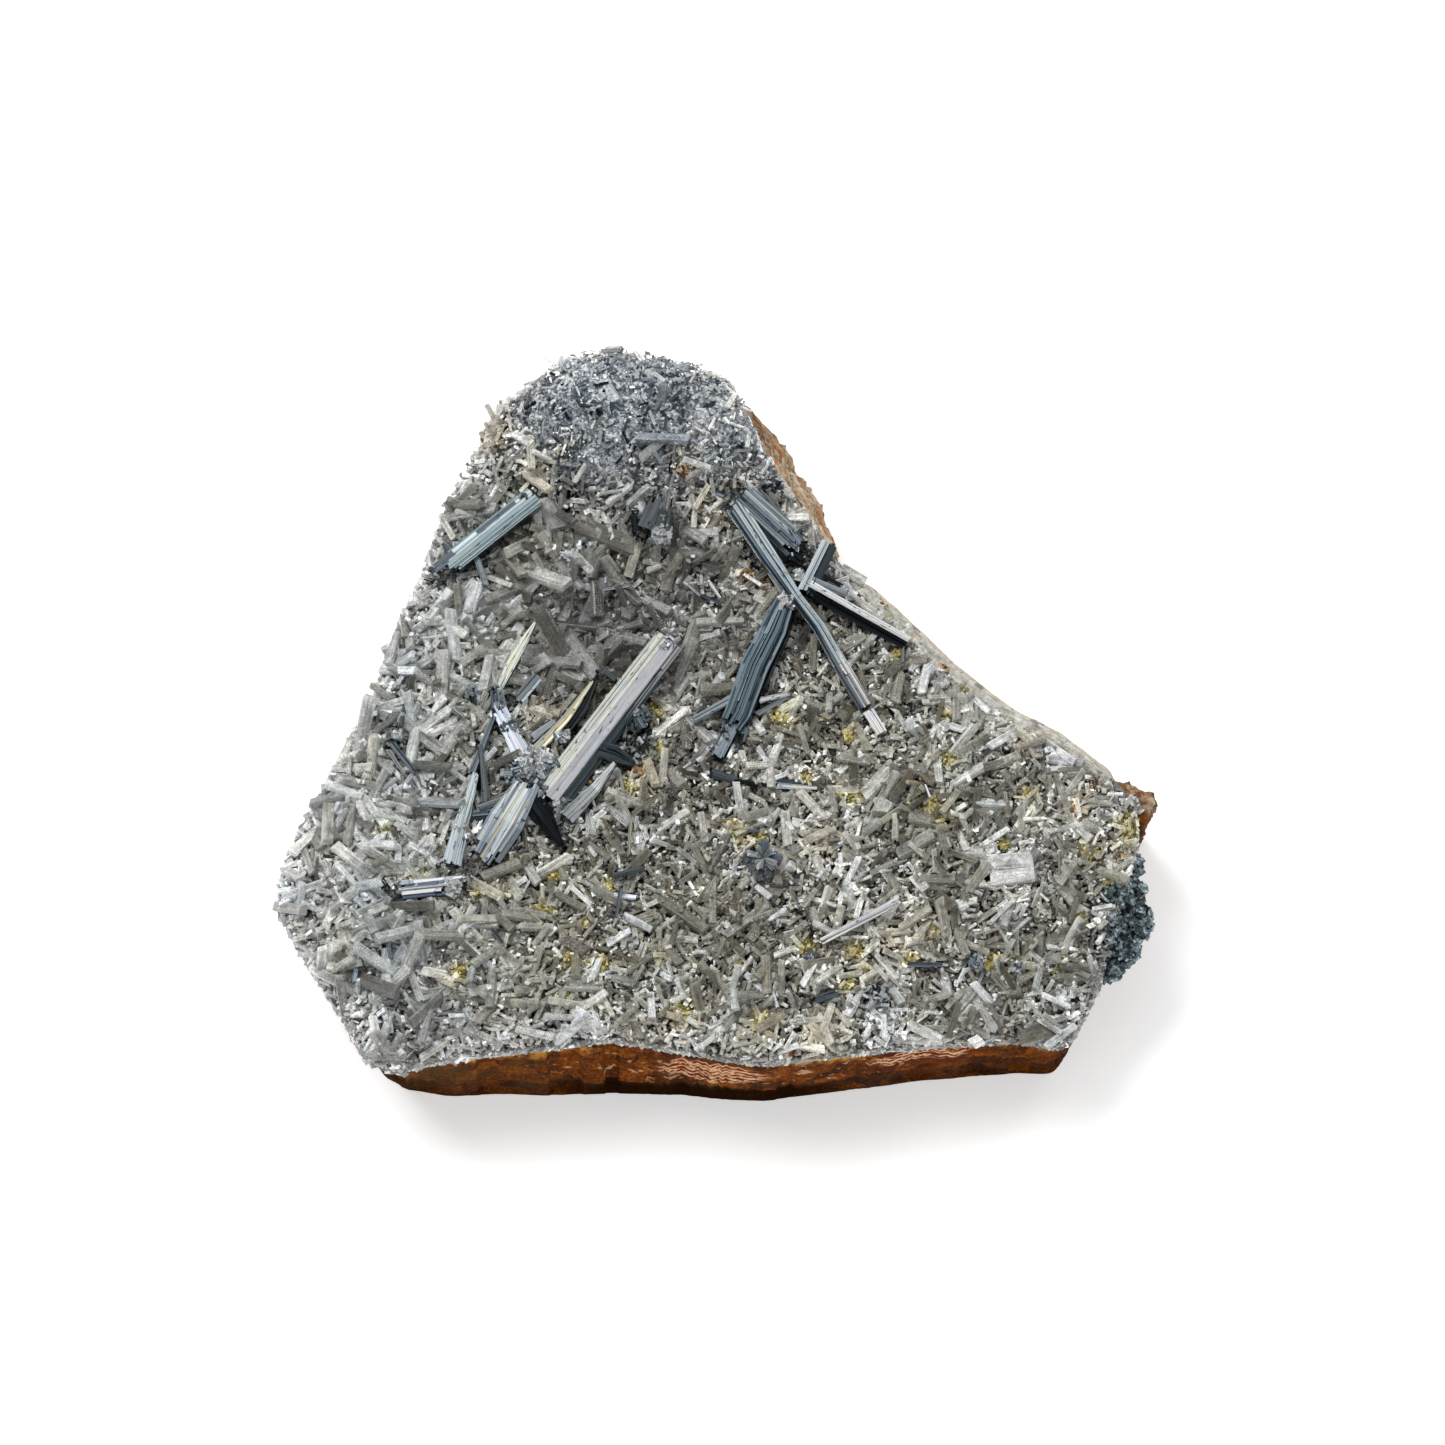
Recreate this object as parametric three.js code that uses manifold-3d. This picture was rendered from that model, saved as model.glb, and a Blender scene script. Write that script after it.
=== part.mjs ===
// Stibnite specimen: metallic stibnite prisms, some crossing, on a crust of pale barite laths that grew
// on a slab of iron-stained wall rock. Millimetres, +Z up, the origin in the middle of the slab's flat
// underside. +X runs along the slab's long front face and +Y goes away from the viewer, towards the
// narrow raised end.

import * as THREE from 'three';
import { mergeVertices } from 'three/addons/utils/BufferGeometryUtils.js';
import Module from 'manifold-3d';

const wasm = await Module();
wasm.setup();

// Driving dimensions
const CRUST_LEVEL = 20; // usual height of the crust's surface above the underside
const CRUST_DEPTH = 4.4; // usual depth of the crust down to the wall rock
const KNOB_RISE = 5; // how far the narrow end stands above the plateau
const KNOB_CRUST_SHARE = 0.6; // the share of that rise that is crust, not wall rock
const HOLLOW_DROP = 4.5; // depth of the hollow behind the crossing prisms
const CORNER_DROP = 5; // the slab thins towards its front right corner
const GAP = 0.3; // clearance where two pieces meet
const CRUST_STEP = 6.2; // spacing of the facets on the crust
const ROCK_STEP = 12; // spacing of the facets where the crust meets the wall rock
const ROUGHNESS = 0.75; // height of the crust's small lumps
const ROLL = { width: 2.2, drop: 1.6 }; // the crust's rolled rim
const LEFT_ROLL = { width: 5.3, drop: 2 }; // what is added on the left, where the crust wraps the side
const BELOW = -2; // a height under the underside, where cutting blocks start
const SIGHT_SLOPE = 0.364; // places were read along a line of sight 70 degrees above the level
const FAR_END_SHARE = 0.72; // a lath's width at its far end, as a share of that at its root
const BARITE_LATHS = 42; // laths scattered over the crust, beside those placed by hand

// The crust's rim, clockwise from the tip of the narrow end: x, y, and how far the foot of the wall rock
// stands out from under that place. It is negative where the foot is undercut.
const RIM = [
  [-16, 51.3, 0], [-8, 49.5, 0.5], [-1.5, 47.4, 2], [1, 45.9, 4], [3, 42, 6], [4.8, 38, 6.5],
  [6.8, 34, 6.5], [9, 30.5, 6], [12, 26.5, 4.5], [15.5, 21.5, 2.5], [21.5, 15.4, 1.5], [27, 10, 1.5],
  [31, 5.7, 1.5], [36, 1.5, 1.5], [40, -1.8, 1.5], [46, -4.8, 1.5], [51, -9, 1.5], [56, -11.8, 1],
  [59.6, -14, -1], [58, -17.4, -1], [56.6, -21.5, 0], [54.5, -29, 0], [53, -35, -1.5],
  [51.5, -39.5, -1.5], [49.7, -43.4, -1], [47.4, -47.8, -1.2], [45.5, -48.6, -0.5], [40, -47.7, 0.3],
  [34, -48.3, 0.2], [27, -49.1, 0], [20, -50, 0], [12, -51.2, 0], [6, -52.1, 0], [0, -51.4, 0.5],
  [-5, -50.5, 0.8], [-10, -49.6, 1.5], [-16, -48.8, 2.2], [-22, -49.8, 1.4], [-30, -50.6, 0.4],
  [-38, -51.3, 0], [-44.5, -52.5, -2.5], [-48.3, -51, -3], [-51, -46, -2], [-54.2, -40.5, -2],
  [-57.5, -35, -2], [-60.2, -30, -2.5], [-60.4, -26, -2.5], [-58.2, -19.5, -2], [-54, -11, -2],
  [-50, -4, -1.5], [-47.2, 3.5, -1.5], [-44.3, 13, -1.5], [-41, 20, -1.5], [-38.7, 27.5, -1],
  [-35.5, 34.5, -1], [-31.3, 43.5, -1], [-26, 46.5, -0.5], [-22.5, 50, 0],
];

// Levels of the slab's side: height and its scatter, the share of the foot's lean kept there, how proud
// the level stands, and how far its corners are scattered in and out
const SIDE_LEVELS = [
  { height: 0, waver: 0, lean: 1, proud: 0, rough: 0.3 },
  { height: 4.8, waver: 1.3, lean: 0.95, proud: -0.6, rough: 0.6 },
  { height: 7.2, waver: 0.9, lean: 0.85, proud: 0.3, rough: 0.5 },
  { height: 10.8, waver: 1, lean: 0.6, proud: 0, rough: 0.6 },
  { height: 18, waver: 0, lean: 0, proud: 0, rough: 0 },
  { height: 34, waver: 0, lean: 0, proud: 0, rough: 0 },
];

// Stibnite. Each crystal's path runs along its length as x, y, height and width. Its y is read as it
// is seen at the crust's usual height, and seen() brings it to its own height.
// The roll turns a crystal about its own length, in radians.
const CENTRE_CLUSTER = [
  { part: 'main blade', path: [[-24, -14.9, 20.2, 4.1], [-7.2, 8.4, 21.7, 4.1]], depth: 2.5, roll: 0.12 },
  { part: 'ledge on it', path: [[-21.6, -15, 20, 1.6], [-8.9, 3, 20.8, 1.2]], depth: 1.9, roll: 0.3 },
  { part: 'stub', path: [[-26.2, -12.2, 21.3, 3.6], [-33, -24.4, 20.3, 4.7]], depth: 2.6, roll: -0.15 },
  { part: 'knot', path: [[-29, -11.6, 20.6, 3.4], [-23.2, -9.8, 21.6, 3.2]], depth: 3.4, roll: 0.4 },
  { part: 'plate', path: [[-33.4, -9.6, 21.4, 0.7], [-36.4, -24.6, 20.5, 2.2]], depth: 1.3, roll: 0.5 },
  { part: 'wedge', path: [[-33.4, -7, 21.6, 0.6], [-32.1, -15.8, 20.6, 1.6]], depth: 1.6, roll: -0.4 },
  { part: 'sliver', path: [[-31.3, -2.8, 21.9, 0.6], [-34.4, -11.4, 21, 1.1]], depth: 0.9, roll: 0.3 },
  { part: 'wedge root', path: [[-35, -17.5, 19.9, 1.6], [-30.6, -17, 20.2, 2.2]], depth: 2, roll: 0 },
  { part: 'crossing', path: [[-31, -1.2, 21.3, 1.9], [-26.6, -10.2, 21.7, 2.6]], depth: 1.6, roll: 0.35 },
  { part: 'splinter', path: [[-18.2, 2, 20.2, 0.9], [-26.2, -8.9, 20.8, 2.1]], depth: 1.6, roll: -0.3 },
  { part: 'branch', path: [[-22.8, -3.3, 21, 0.6], [-26.4, -6.2, 20.9, 1.2]], depth: 0.9, roll: 0 },
  { part: 'thin blade', path: [[-25.9, 11.4, 21.6, 1], [-31.4, -0.4, 20.9, 1.6]], depth: 0.9, roll: 0.4 },
  { part: 'blade foot', path: [[-30.4, -3.6, 20.3, 2.4], [-31.2, 1.2, 20.4, 1.6]], depth: 2.2, roll: 0 },
  { part: 'short prism', path: [[-29.6, -2, 20, 1.5], [-25.2, 3.4, 20.7, 1.3]], depth: 1.2, roll: 0 },
  { part: 'dark prism', path: [[-26.8, -13.4, 20.9, 3.2], [-21.9, -21.7, 20, 2]], depth: 2.4, roll: 0.2 },
  { part: 'fan', path: [[-14.9, -9.5, 22.2, 0.7], [-21.6, -17.5, 20.4, 2.3]], depth: 1.4, roll: 0.2 },
  { part: 'fan root', path: [[-22.8, -15.4, 20, 2.6], [-19.4, -16.6, 19.8, 1.6]], depth: 2.2, roll: 0 },
  { part: 'bundle', path: [[-18.6, -7.6, 20, 2.2], [-12.4, -9.7, 20.4, 0.9]], depth: 1.8, roll: 0 },
  { part: 'upper bundle', path: [[-13.2, -0.4, 20.2, 2.2], [-10.3, -5.2, 20.1, 0.9]], depth: 2, roll: 0 },
];

const RIGHT_CLUSTER = [
  { part: 'prism bundle', path: [[2, 30, 22.8, 3.7], [10.4, 21.7, 21.9, 4.2]], depth: 3, roll: -0.2 },
  { part: 'bundle rib', path: [[4.6, 30.4, 22.6, 1.4], [11, 22.6, 22, 1.1]], depth: 1.6, roll: 0 },
  {
    part: 'long spear',
    path: [[1.2, 28.8, 23.2, 3.4], [8, 15.8, 22.9, 3.2], [13, 9.6, 22.6, 1.9], [22.1, -4.9, 21.9, 1.3]],
    depth: 1.3, roll: 0.1,
  },
  {
    part: 'dark prism',
    path: [[9.3, 15.4, 21.2, 3], [5.4, 6, 21, 3.9], [0.8, -6.6, 20.4, 3.7]],
    depth: 2.8, roll: 0.15,
  },
  { part: 'left fork', path: [[2, -2.6, 20.3, 1.6], [-1.1, -9.2, 20.2, 1.2]], depth: 1.5, roll: 0.2 },
  { part: 'right fork', path: [[3, -2.4, 20.4, 1.4], [2.5, -7.6, 20.3, 1]], depth: 1.3, roll: 0 },
  { part: 'cross prism', path: [[15.2, 23, 22, 2], [11, 13.6, 21.7, 1.9]], depth: 1.6, roll: 0.1 },
  { part: 'side prism', path: [[10.4, 17.2, 21.8, 1.9], [25.6, 8.1, 22, 1.6]], depth: 1.5, roll: 0.6 },
  { part: 'upper prism', path: [[9.8, 18.3, 21.9, 1.6], [18.3, 14.7, 21.8, 1.1]], depth: 1.2, roll: 0.4 },
  { part: 'left blade', path: [[2.6, 0.6, 20.4, 1.4], [-4.2, -3.9, 20.8, 0.9]], depth: 1, roll: 0.2 },
  { part: 'right blade', path: [[2.4, -1.8, 20.6, 1.2], [9, 0.7, 20.9, 0.8]], depth: 0.9, roll: 0.2 },
];

const UPPER_LEFT_PRISM = [
  { part: 'long prism', path: [[-25.4, 29.9, 22.4, 3.2], [-38.6, 18.9, 20.3, 3.1]], depth: 2.7, roll: 0.25 },
  { part: 'upper rib', path: [[-27.4, 29.5, 22.6, 1.4], [-40.4, 18.6, 20.5, 1.2]], depth: 1.6, roll: 0 },
  { part: 'needle', path: [[-35, 22.6, 20.2, 0.9], [-32.5, 15.9, 19.6, 0.7]], depth: 0.8, roll: 0 },
];

const LOWER_LEFT_BLOCK = [
  { part: 'block', path: [[-44.9, -28.3, 20.2, 2.6], [-35.6, -27.3, 20.7, 2.4]], depth: 2, roll: 0.1 },
  { part: 'upper', path: [[-42.4, -27.4, 20.8, 1.2], [-34.9, -26.5, 20.6, 0.9]], depth: 1.3, roll: 0 },
  { part: 'lower', path: [[-44.7, -30.3, 19.8, 1], [-41.9, -29.3, 20.2, 1.2]], depth: 1.3, roll: 0 },
];

const STEP_BLOCK = [
  { part: 'upper block', path: [[-7.4, 30, 23.4, 3.2], [-9.9, 23.6, 19.2, 3.8]], depth: 3, roll: 0.3 },
  { part: 'left block', path: [[-11, 27.2, 21, 1.8], [-10.8, 23.2, 18.8, 2.2]], depth: 2.6, roll: 0 },
];

const TWIN_NEEDLE = [
  { part: 'upper needle', path: [[13.3, -35.3, 21.4, 0.5], [24, -29.3, 20.6, 0.8]], depth: 0.7, roll: 0 },
  { part: 'lower needle', path: [[13.5, -35.6, 21.2, 0.5], [22.6, -30.6, 20.3, 0.8]], depth: 0.9, roll: 0 },
];

const LOW_NEEDLE = [
  { part: 'dark blade', path: [[-1.4, -10.7, 20.4, 1.3], [5.2, -12, 20.6, 0.9]], depth: 1, roll: 0.2 },
  { part: 'silver needle', path: [[3.6, -11.7, 20.5, 0.8], [12.8, -12.5, 20.9, 0.5]], depth: 0.7, roll: 0 },
];

const ROSETTE = { at: [5.6, -23.4, 19.6], blades: 4, reach: 3.2, rise: 1.5, width: 1.3, depth: 0.8 };

// The dark massive stibnite that juts from the right edge: x, y, height and radius of each lump
const EDGE_MASS = [
  [55.4, -22.6, 14.4, 2.5], [55.5, -26.4, 13.8, 2.9], [56.1, -30.6, 14, 3.2], [54.4, -31.5, 12, 3.2],
  [54.5, -34.2, 13.8, 2.9], [52.8, -36.6, 13, 2.5], [53.8, -27.5, 16.8, 2.5], [53.2, -32.6, 16, 2.5],
];

// Large barite laths seen on the crust: the two ends' x and y, the width and the lift of the middle
const LARGE_LATHS = [
  [-20.5, 25.8, -12.3, 22, 3, 0.9], [-20, 22.3, -17.5, 18.8, 1.4, 0.8], [-15.8, 17.6, -11, 19.3, 1.5, 0.9],
  [-14.8, 13.5, -10.8, 13.7, 1.5, 0.9], [-11, 13.9, -6.7, 13, 1.4, 1], [-6, 10, -1.2, 10.1, 1.4, 1],
  [-23, 7.5, -18, 12, 2, 1], [-31, 5, -28, 10.5, 1.8, 0.8], [-37, 11, -33, 10.5, 1.6, 0.7],
  [-9.3, -28.8, -2.2, -33.9, 1.7, 0.9], [0.2, -34.8, 6.1, -30.2, 1.4, 0.9], [0.2, 23, 3.2, 24.4, 1.3, 0.9],
  [35.4, -24.1, 42.4, -23.9, 2, 1.1], [37, -26.6, 42.8, -25.6, 2, 1], [-41, -13.6, -40.4, -19.5, 1.2, 1.1],
  [-48.6, -17.7, -43.2, -16.3, 0.9, 1.2], [-50.6, -16.6, -46.8, -14.9, 1.1, 1],
  [-42.4, -19.8, -40.4, -22.4, 1.2, 0.9], [-54.6, -23.9, -53.6, -26.2, 1.3, 0.8],
  [-52, -33, -50.4, -37.4, 2, 0.8], [-46, -31, -44, -34.2, 1.8, 0.9], [-35, -44.9, -33.2, -48.2, 1.3, 0.9],
  [-15.8, -15.9, -12.6, -18.6, 1.2, 0.9], [3.6, -43.4, 0.4, -48, 1.5, 0.9],
  [-8.4, -35.2, -5.8, -38.6, 1.5, 0.9], [40.6, -49.4, 45.6, -48.2, 2.2, 0.8],
  [30.2, -40.4, 30.8, -43.4, 1.5, 0.8], [32, -45.2, 35, -41.6, 1.8, 0.8],
  [45, -35.2, 50.2, -33, 1.6, 0.9], [24, -23, 29, -19.9, 2, 0.8],
  [19.4, -14.4, 23.6, -9.8, 2.2, 0.9], [20.4, -19, 22.6, -15, 2.4, 0.9], [37.4, -10, 41, -8.4, 1.5, 0.9],
  [22, -11.9, 27.6, -10.6, 1.3, 0.8], [8, -28, 4, -27.6, 1.3, 0.8], [-25.2, 29.2, -22.6, 25, 2.8, 1.2],
  [-10.6, 48.2, -7.6, 45.4, 1.3, 0.9], [-12, 38.4, -4.6, 38.2, 1.3, 1], [-29, 39, -26.4, 37.4, 1.3, 0.9],
];

const LOOKS = {
  wallRock: { color: '#7a4a22', roughness: 0.75, metalness: 0 },
  barite: { color: '#a9a99f', roughness: 0.35, metalness: 0 },
  stibnite: { color: '#7c8792', roughness: 0.28, metalness: 0.9 },
  massive: { color: '#3a4248', roughness: 0.4, metalness: 0.8 },
};

const SKYWARD = new THREE.Vector3(0, 0, 1);

// Repeatable scatter: the same seed always gives the same number between 0 and 1.
function chance(seed) {
  const wave = Math.sin(seed * 127.1 + 311.7) * 43758.5453;
  return wave - Math.floor(wave);
}

function between(seed, low, high) {
  return low + (high - low) * chance(seed);
}

// A place read at the crust's usual height, moved along the line of sight to its own height
function seen(x, y, height) {
  return new THREE.Vector3(x, y - SIGHT_SLOPE * (height - CRUST_LEVEL), height);
}

// A soft bump, 1 at its middle and falling to nothing around it; a higher power gives a flatter top.
function bump(x, y, middle, reach, power = 2) {
  const along = Math.abs((x - middle[0]) / reach[0]) ** power;
  const across = Math.abs((y - middle[1]) / reach[1]) ** power;
  return Math.exp(-along - across);
}

function distanceToRim(x, y) {
  const place = new THREE.Vector3(x, y, 0);
  const nearest = new THREE.Vector3();
  let distance = Infinity;
  RIM.forEach(([fromX, fromY], index) => {
    const [toX, toY] = RIM[(index + 1) % RIM.length];
    const edge = new THREE.Line3(new THREE.Vector3(fromX, fromY, 0), new THREE.Vector3(toX, toY, 0));
    edge.closestPointToPoint(place, true, nearest);
    distance = Math.min(distance, nearest.distanceTo(place));
  });
  return distance;
}

function knobAt(x, y) {
  return bump(x, y, [-11, 42], [20, 11.5], 4);
}

// The slab's broad form: knob, hollow and thin corner, without the crust's lumps
function broadHeight(x, y) {
  const knob = KNOB_RISE * knobAt(x, y);
  const hollow = HOLLOW_DROP * bump(x, y, [-14, 12], [20, 13]);
  const corner = CORNER_DROP * bump(x, y, [52, -55], [30, 28]);
  return CRUST_LEVEL + knob - hollow - corner;
}

function crustBottom(x, y) {
  return broadHeight(x, y) - CRUST_DEPTH - KNOB_CRUST_SHARE * KNOB_RISE * knobAt(x, y);
}

// The crust rolls over at the rim: widely on the left, where it wraps the side, and tightly elsewhere.
function crustTop(x, y) {
  const left = THREE.MathUtils.smoothstep(-x + 0.25 * y, 12, 34);
  const width = ROLL.width + LEFT_ROLL.width * left;
  const drop = ROLL.drop + LEFT_ROLL.drop * left;
  const inward = Math.min(distanceToRim(x, y) / width, 1);
  const roll = (1 - Math.sqrt(1 - (1 - inward) ** 2)) * drop;
  const lumps = ROUGHNESS * (chance(x * 3.1 + y * 7.7) * 2 - 1);
  return broadHeight(x, y) - roll + lumps;
}

// A closed body as a cutting and joining solid, its shared corners merged
function asSolid(geometry) {
  geometry.deleteAttribute('normal');
  geometry.deleteAttribute('uv');
  const merged = mergeVertices(geometry, 1e-4);
  return new wasm.Manifold(new wasm.Mesh({
    numProp: 3,
    vertProperties: new Float32Array(merged.attributes.position.array),
    triVerts: new Uint32Array(merged.index.array),
  }));
}

function geometryOf(corners, faces) {
  const geometry = new THREE.BufferGeometry();
  const numbers = corners.flatMap((corner) => corner.toArray());
  geometry.setAttribute('position', new THREE.Float32BufferAttribute(numbers, 3));
  geometry.setIndex(faces.flat());
  return geometry;
}

// Rings of equal count, counter-clockwise seen from the last ring, skinned and closed at both ends
function loft(rings, outline) {
  const count = rings[0].length;
  const faces = [];
  rings.slice(1).forEach((ring, level) => {
    ring.forEach((corner, index) => {
      const next = (index + 1) % count;
      const low = level * count;
      const high = low + count;
      faces.push([low + index, low + next, high + next], [low + index, high + next, high + index]);
    });
  });
  const last = (rings.length - 1) * count;
  THREE.ShapeUtils.triangulateShape(outline, []).forEach(([a, b, c]) => {
    faces.push([c, b, a], [last + a, last + b, last + c]);
  });
  return asSolid(geometryOf(rings.flat(), faces));
}

// A block over the whole slab, between two height functions on one grid of facets
function heightBlock(step, lowAt, highAt) {
  const [left, front, breadth, depth] = [-68, -58, 136, 116];
  const columns = Math.ceil(breadth / step);
  const rows = Math.ceil(depth / step);
  const stride = columns + 1;
  const corners = [];
  for (const heightAt of [lowAt, highAt]) {
    for (let row = 0; row <= rows; row += 1) {
      for (let column = 0; column <= columns; column += 1) {
        const x = left + column * step + (row % 2) * 0.5 * step;
        const y = front + row * step;
        corners.push(new THREE.Vector3(x, y, heightAt(x, y)));
      }
    }
  }
  const upper = stride * (rows + 1);
  const faces = [];
  for (let row = 0; row < rows; row += 1) {
    for (let column = 0; column < columns; column += 1) {
      const a = row * stride + column;
      const [b, c, d] = [a + 1, a + stride + 1, a + stride];
      const halves = row % 2 ? [[a, b, c], [a, c, d]] : [[a, b, d], [b, c, d]];
      halves.forEach(([p, q, r]) => faces.push([r, q, p], [upper + p, upper + q, upper + r]));
    }
  }
  const wall = (p, q) => faces.push([p, q, upper + q], [p, upper + q, upper + p]);
  for (let column = 0; column < columns; column += 1) {
    wall(column, column + 1);
    wall(rows * stride + column + 1, rows * stride + column);
  }
  for (let row = 0; row < rows; row += 1) {
    wall(row * stride + columns, (row + 1) * stride + columns);
    wall((row + 1) * stride, row * stride);
  }
  return asSolid(geometryOf(corners, faces));
}

// The rim's outward direction at one of its corners
function outwardAt(index) {
  const [beforeX, beforeY] = RIM[(index + RIM.length - 1) % RIM.length];
  const [afterX, afterY] = RIM[(index + 1) % RIM.length];
  return new THREE.Vector2(-(afterY - beforeY), afterX - beforeX).normalize();
}

// The specimen's outline from the underside up past the crust, with its leaning and ledged sides
function outlineBody() {
  const ringAt = ({ height, waver, lean, proud, rough }, level) => RIM.map(([x, y, foot], index) => {
    const scatter = rough * (chance(level * 97 + index * 13) * 2 - 1);
    const out = outwardAt(index).multiplyScalar(foot * lean + proud + scatter);
    const rise = waver * (chance(level * 53 + index * 7) * 2 - 1);
    return new THREE.Vector3(x + out.x, y + out.y, height + rise);
  }).reverse();
  const rings = SIDE_LEVELS.map(ringAt);
  return loft(rings, rings[0].map(({ x, y }) => new THREE.Vector2(x, y)));
}

// Cross-sections as shares of width and depth, counter-clockwise: a stibnite prism is flattened and
// ridged lengthwise, a needle has fewer faces, a socket in the crust is plain and a barite lath is flat.
const section = (corners) => corners.map(([across, up]) => new THREE.Vector2(across, up));
const PRISM_SECTION = section([
  [0.5, 0.05], [0.32, 0.5], [0.08, 0.3], [-0.1, 0.5], [-0.4, 0.42], [-0.5, 0], [-0.34, -0.5], [0.34, -0.5],
]);
const NEEDLE_SECTION = section([[0.5, 0.05], [0.1, 0.5], [-0.42, 0.4], [-0.5, -0.1], [0.1, -0.5]]);
const SOCKET_SECTION = section([
  [0.5, 0.06], [0.36, 0.5], [-0.42, 0.5], [-0.5, 0], [-0.36, -0.5], [0.36, -0.5],
]);
const LATH_SECTION = section([[0.5, -0.5], [0.5, 0.5], [-0.5, 0.5], [-0.5, -0.5]]);
const NEEDLE_WIDTH = 1.7; // below this mean width a prism is a needle

// A prism through the stations of its path: broken off at the near end, and with a small tip at the far
// end unless it is a needle. With grow it is the plain socket that leaves that much room round the prism.
function crystal({ path, depth, roll }, grow = 0) {
  const stations = path.map(([x, y, height, width]) => ({ place: seen(x, y, height), width }));
  const first = stations[0];
  const last = stations[stations.length - 1];
  const axis = last.place.clone().sub(first.place).normalize();
  const side = new THREE.Vector3().crossVectors(SKYWARD, axis).normalize().applyAxisAngle(axis, roll);
  const up = new THREE.Vector3().crossVectors(axis, side);
  const tip = Math.min(0.8, 0.5 * last.width);
  const slender = 0.5 * (first.width + last.width) < NEEDLE_WIDTH;
  const prism = slender ? NEEDLE_SECTION : PRISM_SECTION;
  const shape = grow > 0 ? SOCKET_SECTION : prism;
  const plain = slender || grow > 0;
  const shoulder = { place: last.place.clone().addScaledVector(axis, -tip), width: last.width };
  const point = { place: last.place.clone(), width: 0.55 * last.width, blunt: 0.6 };
  const farEnd = { place: last.place.clone().addScaledVector(axis, grow), width: last.width };
  const ends = [
    { place: first.place.clone().addScaledVector(axis, -grow), width: first.width },
    ...stations.slice(1, -1),
    ...(plain ? [farEnd] : [shoulder, point]),
  ];
  const rings = ends.map(({ place, width, blunt = 1 }, station) => shape.map((share, index) => {
    const scatter = grow > 0 ? -0.5 : chance(index * 5 + path[0][0]) - 0.5;
    const jag = station === 0 ? 0.3 * width * scatter : 0;
    return place.clone()
      .addScaledVector(side, share.x * (width + 2 * grow))
      .addScaledVector(up, share.y * blunt * (depth + 2 * grow))
      .addScaledVector(axis, jag);
  }));
  return loft(rings, shape);
}

function joined(solids) {
  return solids.reduce((whole, solid) => whole.add(solid));
}

// Blades fanning up and out from one root, as a small rosette
function rosetteBlades() {
  const [x, y, height] = ROSETTE.at;
  return Array.from({ length: ROSETTE.blades }, (unused, index) => {
    const turn = (index / ROSETTE.blades) * 2 * Math.PI;
    const reach = ROSETTE.reach * between(index + 40, 0.7, 1);
    const near = [x - 0.3 * Math.cos(turn), y - 0.3 * Math.sin(turn), height, 0.7 * ROSETTE.width];
    const tip = [x + reach * Math.cos(turn), y + reach * Math.sin(turn)];
    const far = [...tip, height + ROSETTE.rise, ROSETTE.width];
    return { path: [near, far], depth: ROSETTE.depth, roll: 0.3 };
  });
}

// An angular lump: an icosahedron with its corners pushed in and out
function lump([x, y, height, radius], order) {
  const ball = new THREE.IcosahedronGeometry(radius, 0).deleteAttribute('normal').deleteAttribute('uv');
  const geometry = mergeVertices(ball, 1e-3);
  const corners = geometry.attributes.position;
  for (let index = 0; index < corners.count; index += 1) {
    const push = between(order * 71 + index * 3, 0.74, 1.12);
    corners.setXYZ(
      index,
      x + corners.getX(index) * push,
      y + corners.getY(index) * push,
      height + corners.getZ(index) * push,
    );
  }
  return asSolid(geometry);
}

// A flat barite lath, narrower at its far end, centred on a place and lying along a direction
function lath({ middle, along, length, width, thickness, roll = 0 }) {
  const side = new THREE.Vector3().crossVectors(SKYWARD, along).normalize().applyAxisAngle(along, roll);
  const up = new THREE.Vector3().crossVectors(along, side);
  const stations = [{ at: -0.5 * length, share: 1 }, { at: 0.5 * length, share: FAR_END_SHARE }];
  const rings = stations.map(({ at, share }) => LATH_SECTION.map((corner) => middle.clone()
    .addScaledVector(along, at)
    .addScaledVector(side, corner.x * width * share)
    .addScaledVector(up, corner.y * thickness)));
  return loft(rings, LATH_SECTION);
}

function placedLath([fromX, fromY, toX, toY, width, lift]) {
  const from = seen(fromX, fromY, crustTop(fromX, fromY) + 0.4 * lift);
  const to = seen(toX, toY, crustTop(toX, toY) + 0.8 * lift);
  const along = to.clone().sub(from);
  return lath({
    middle: from.clone().lerp(to, 0.5),
    length: along.length(),
    along: along.normalize(),
    width,
    thickness: 0.6 + 0.42 * width,
    roll: between(fromX * 3 + toY, -0.35, 0.35),
  });
}

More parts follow.
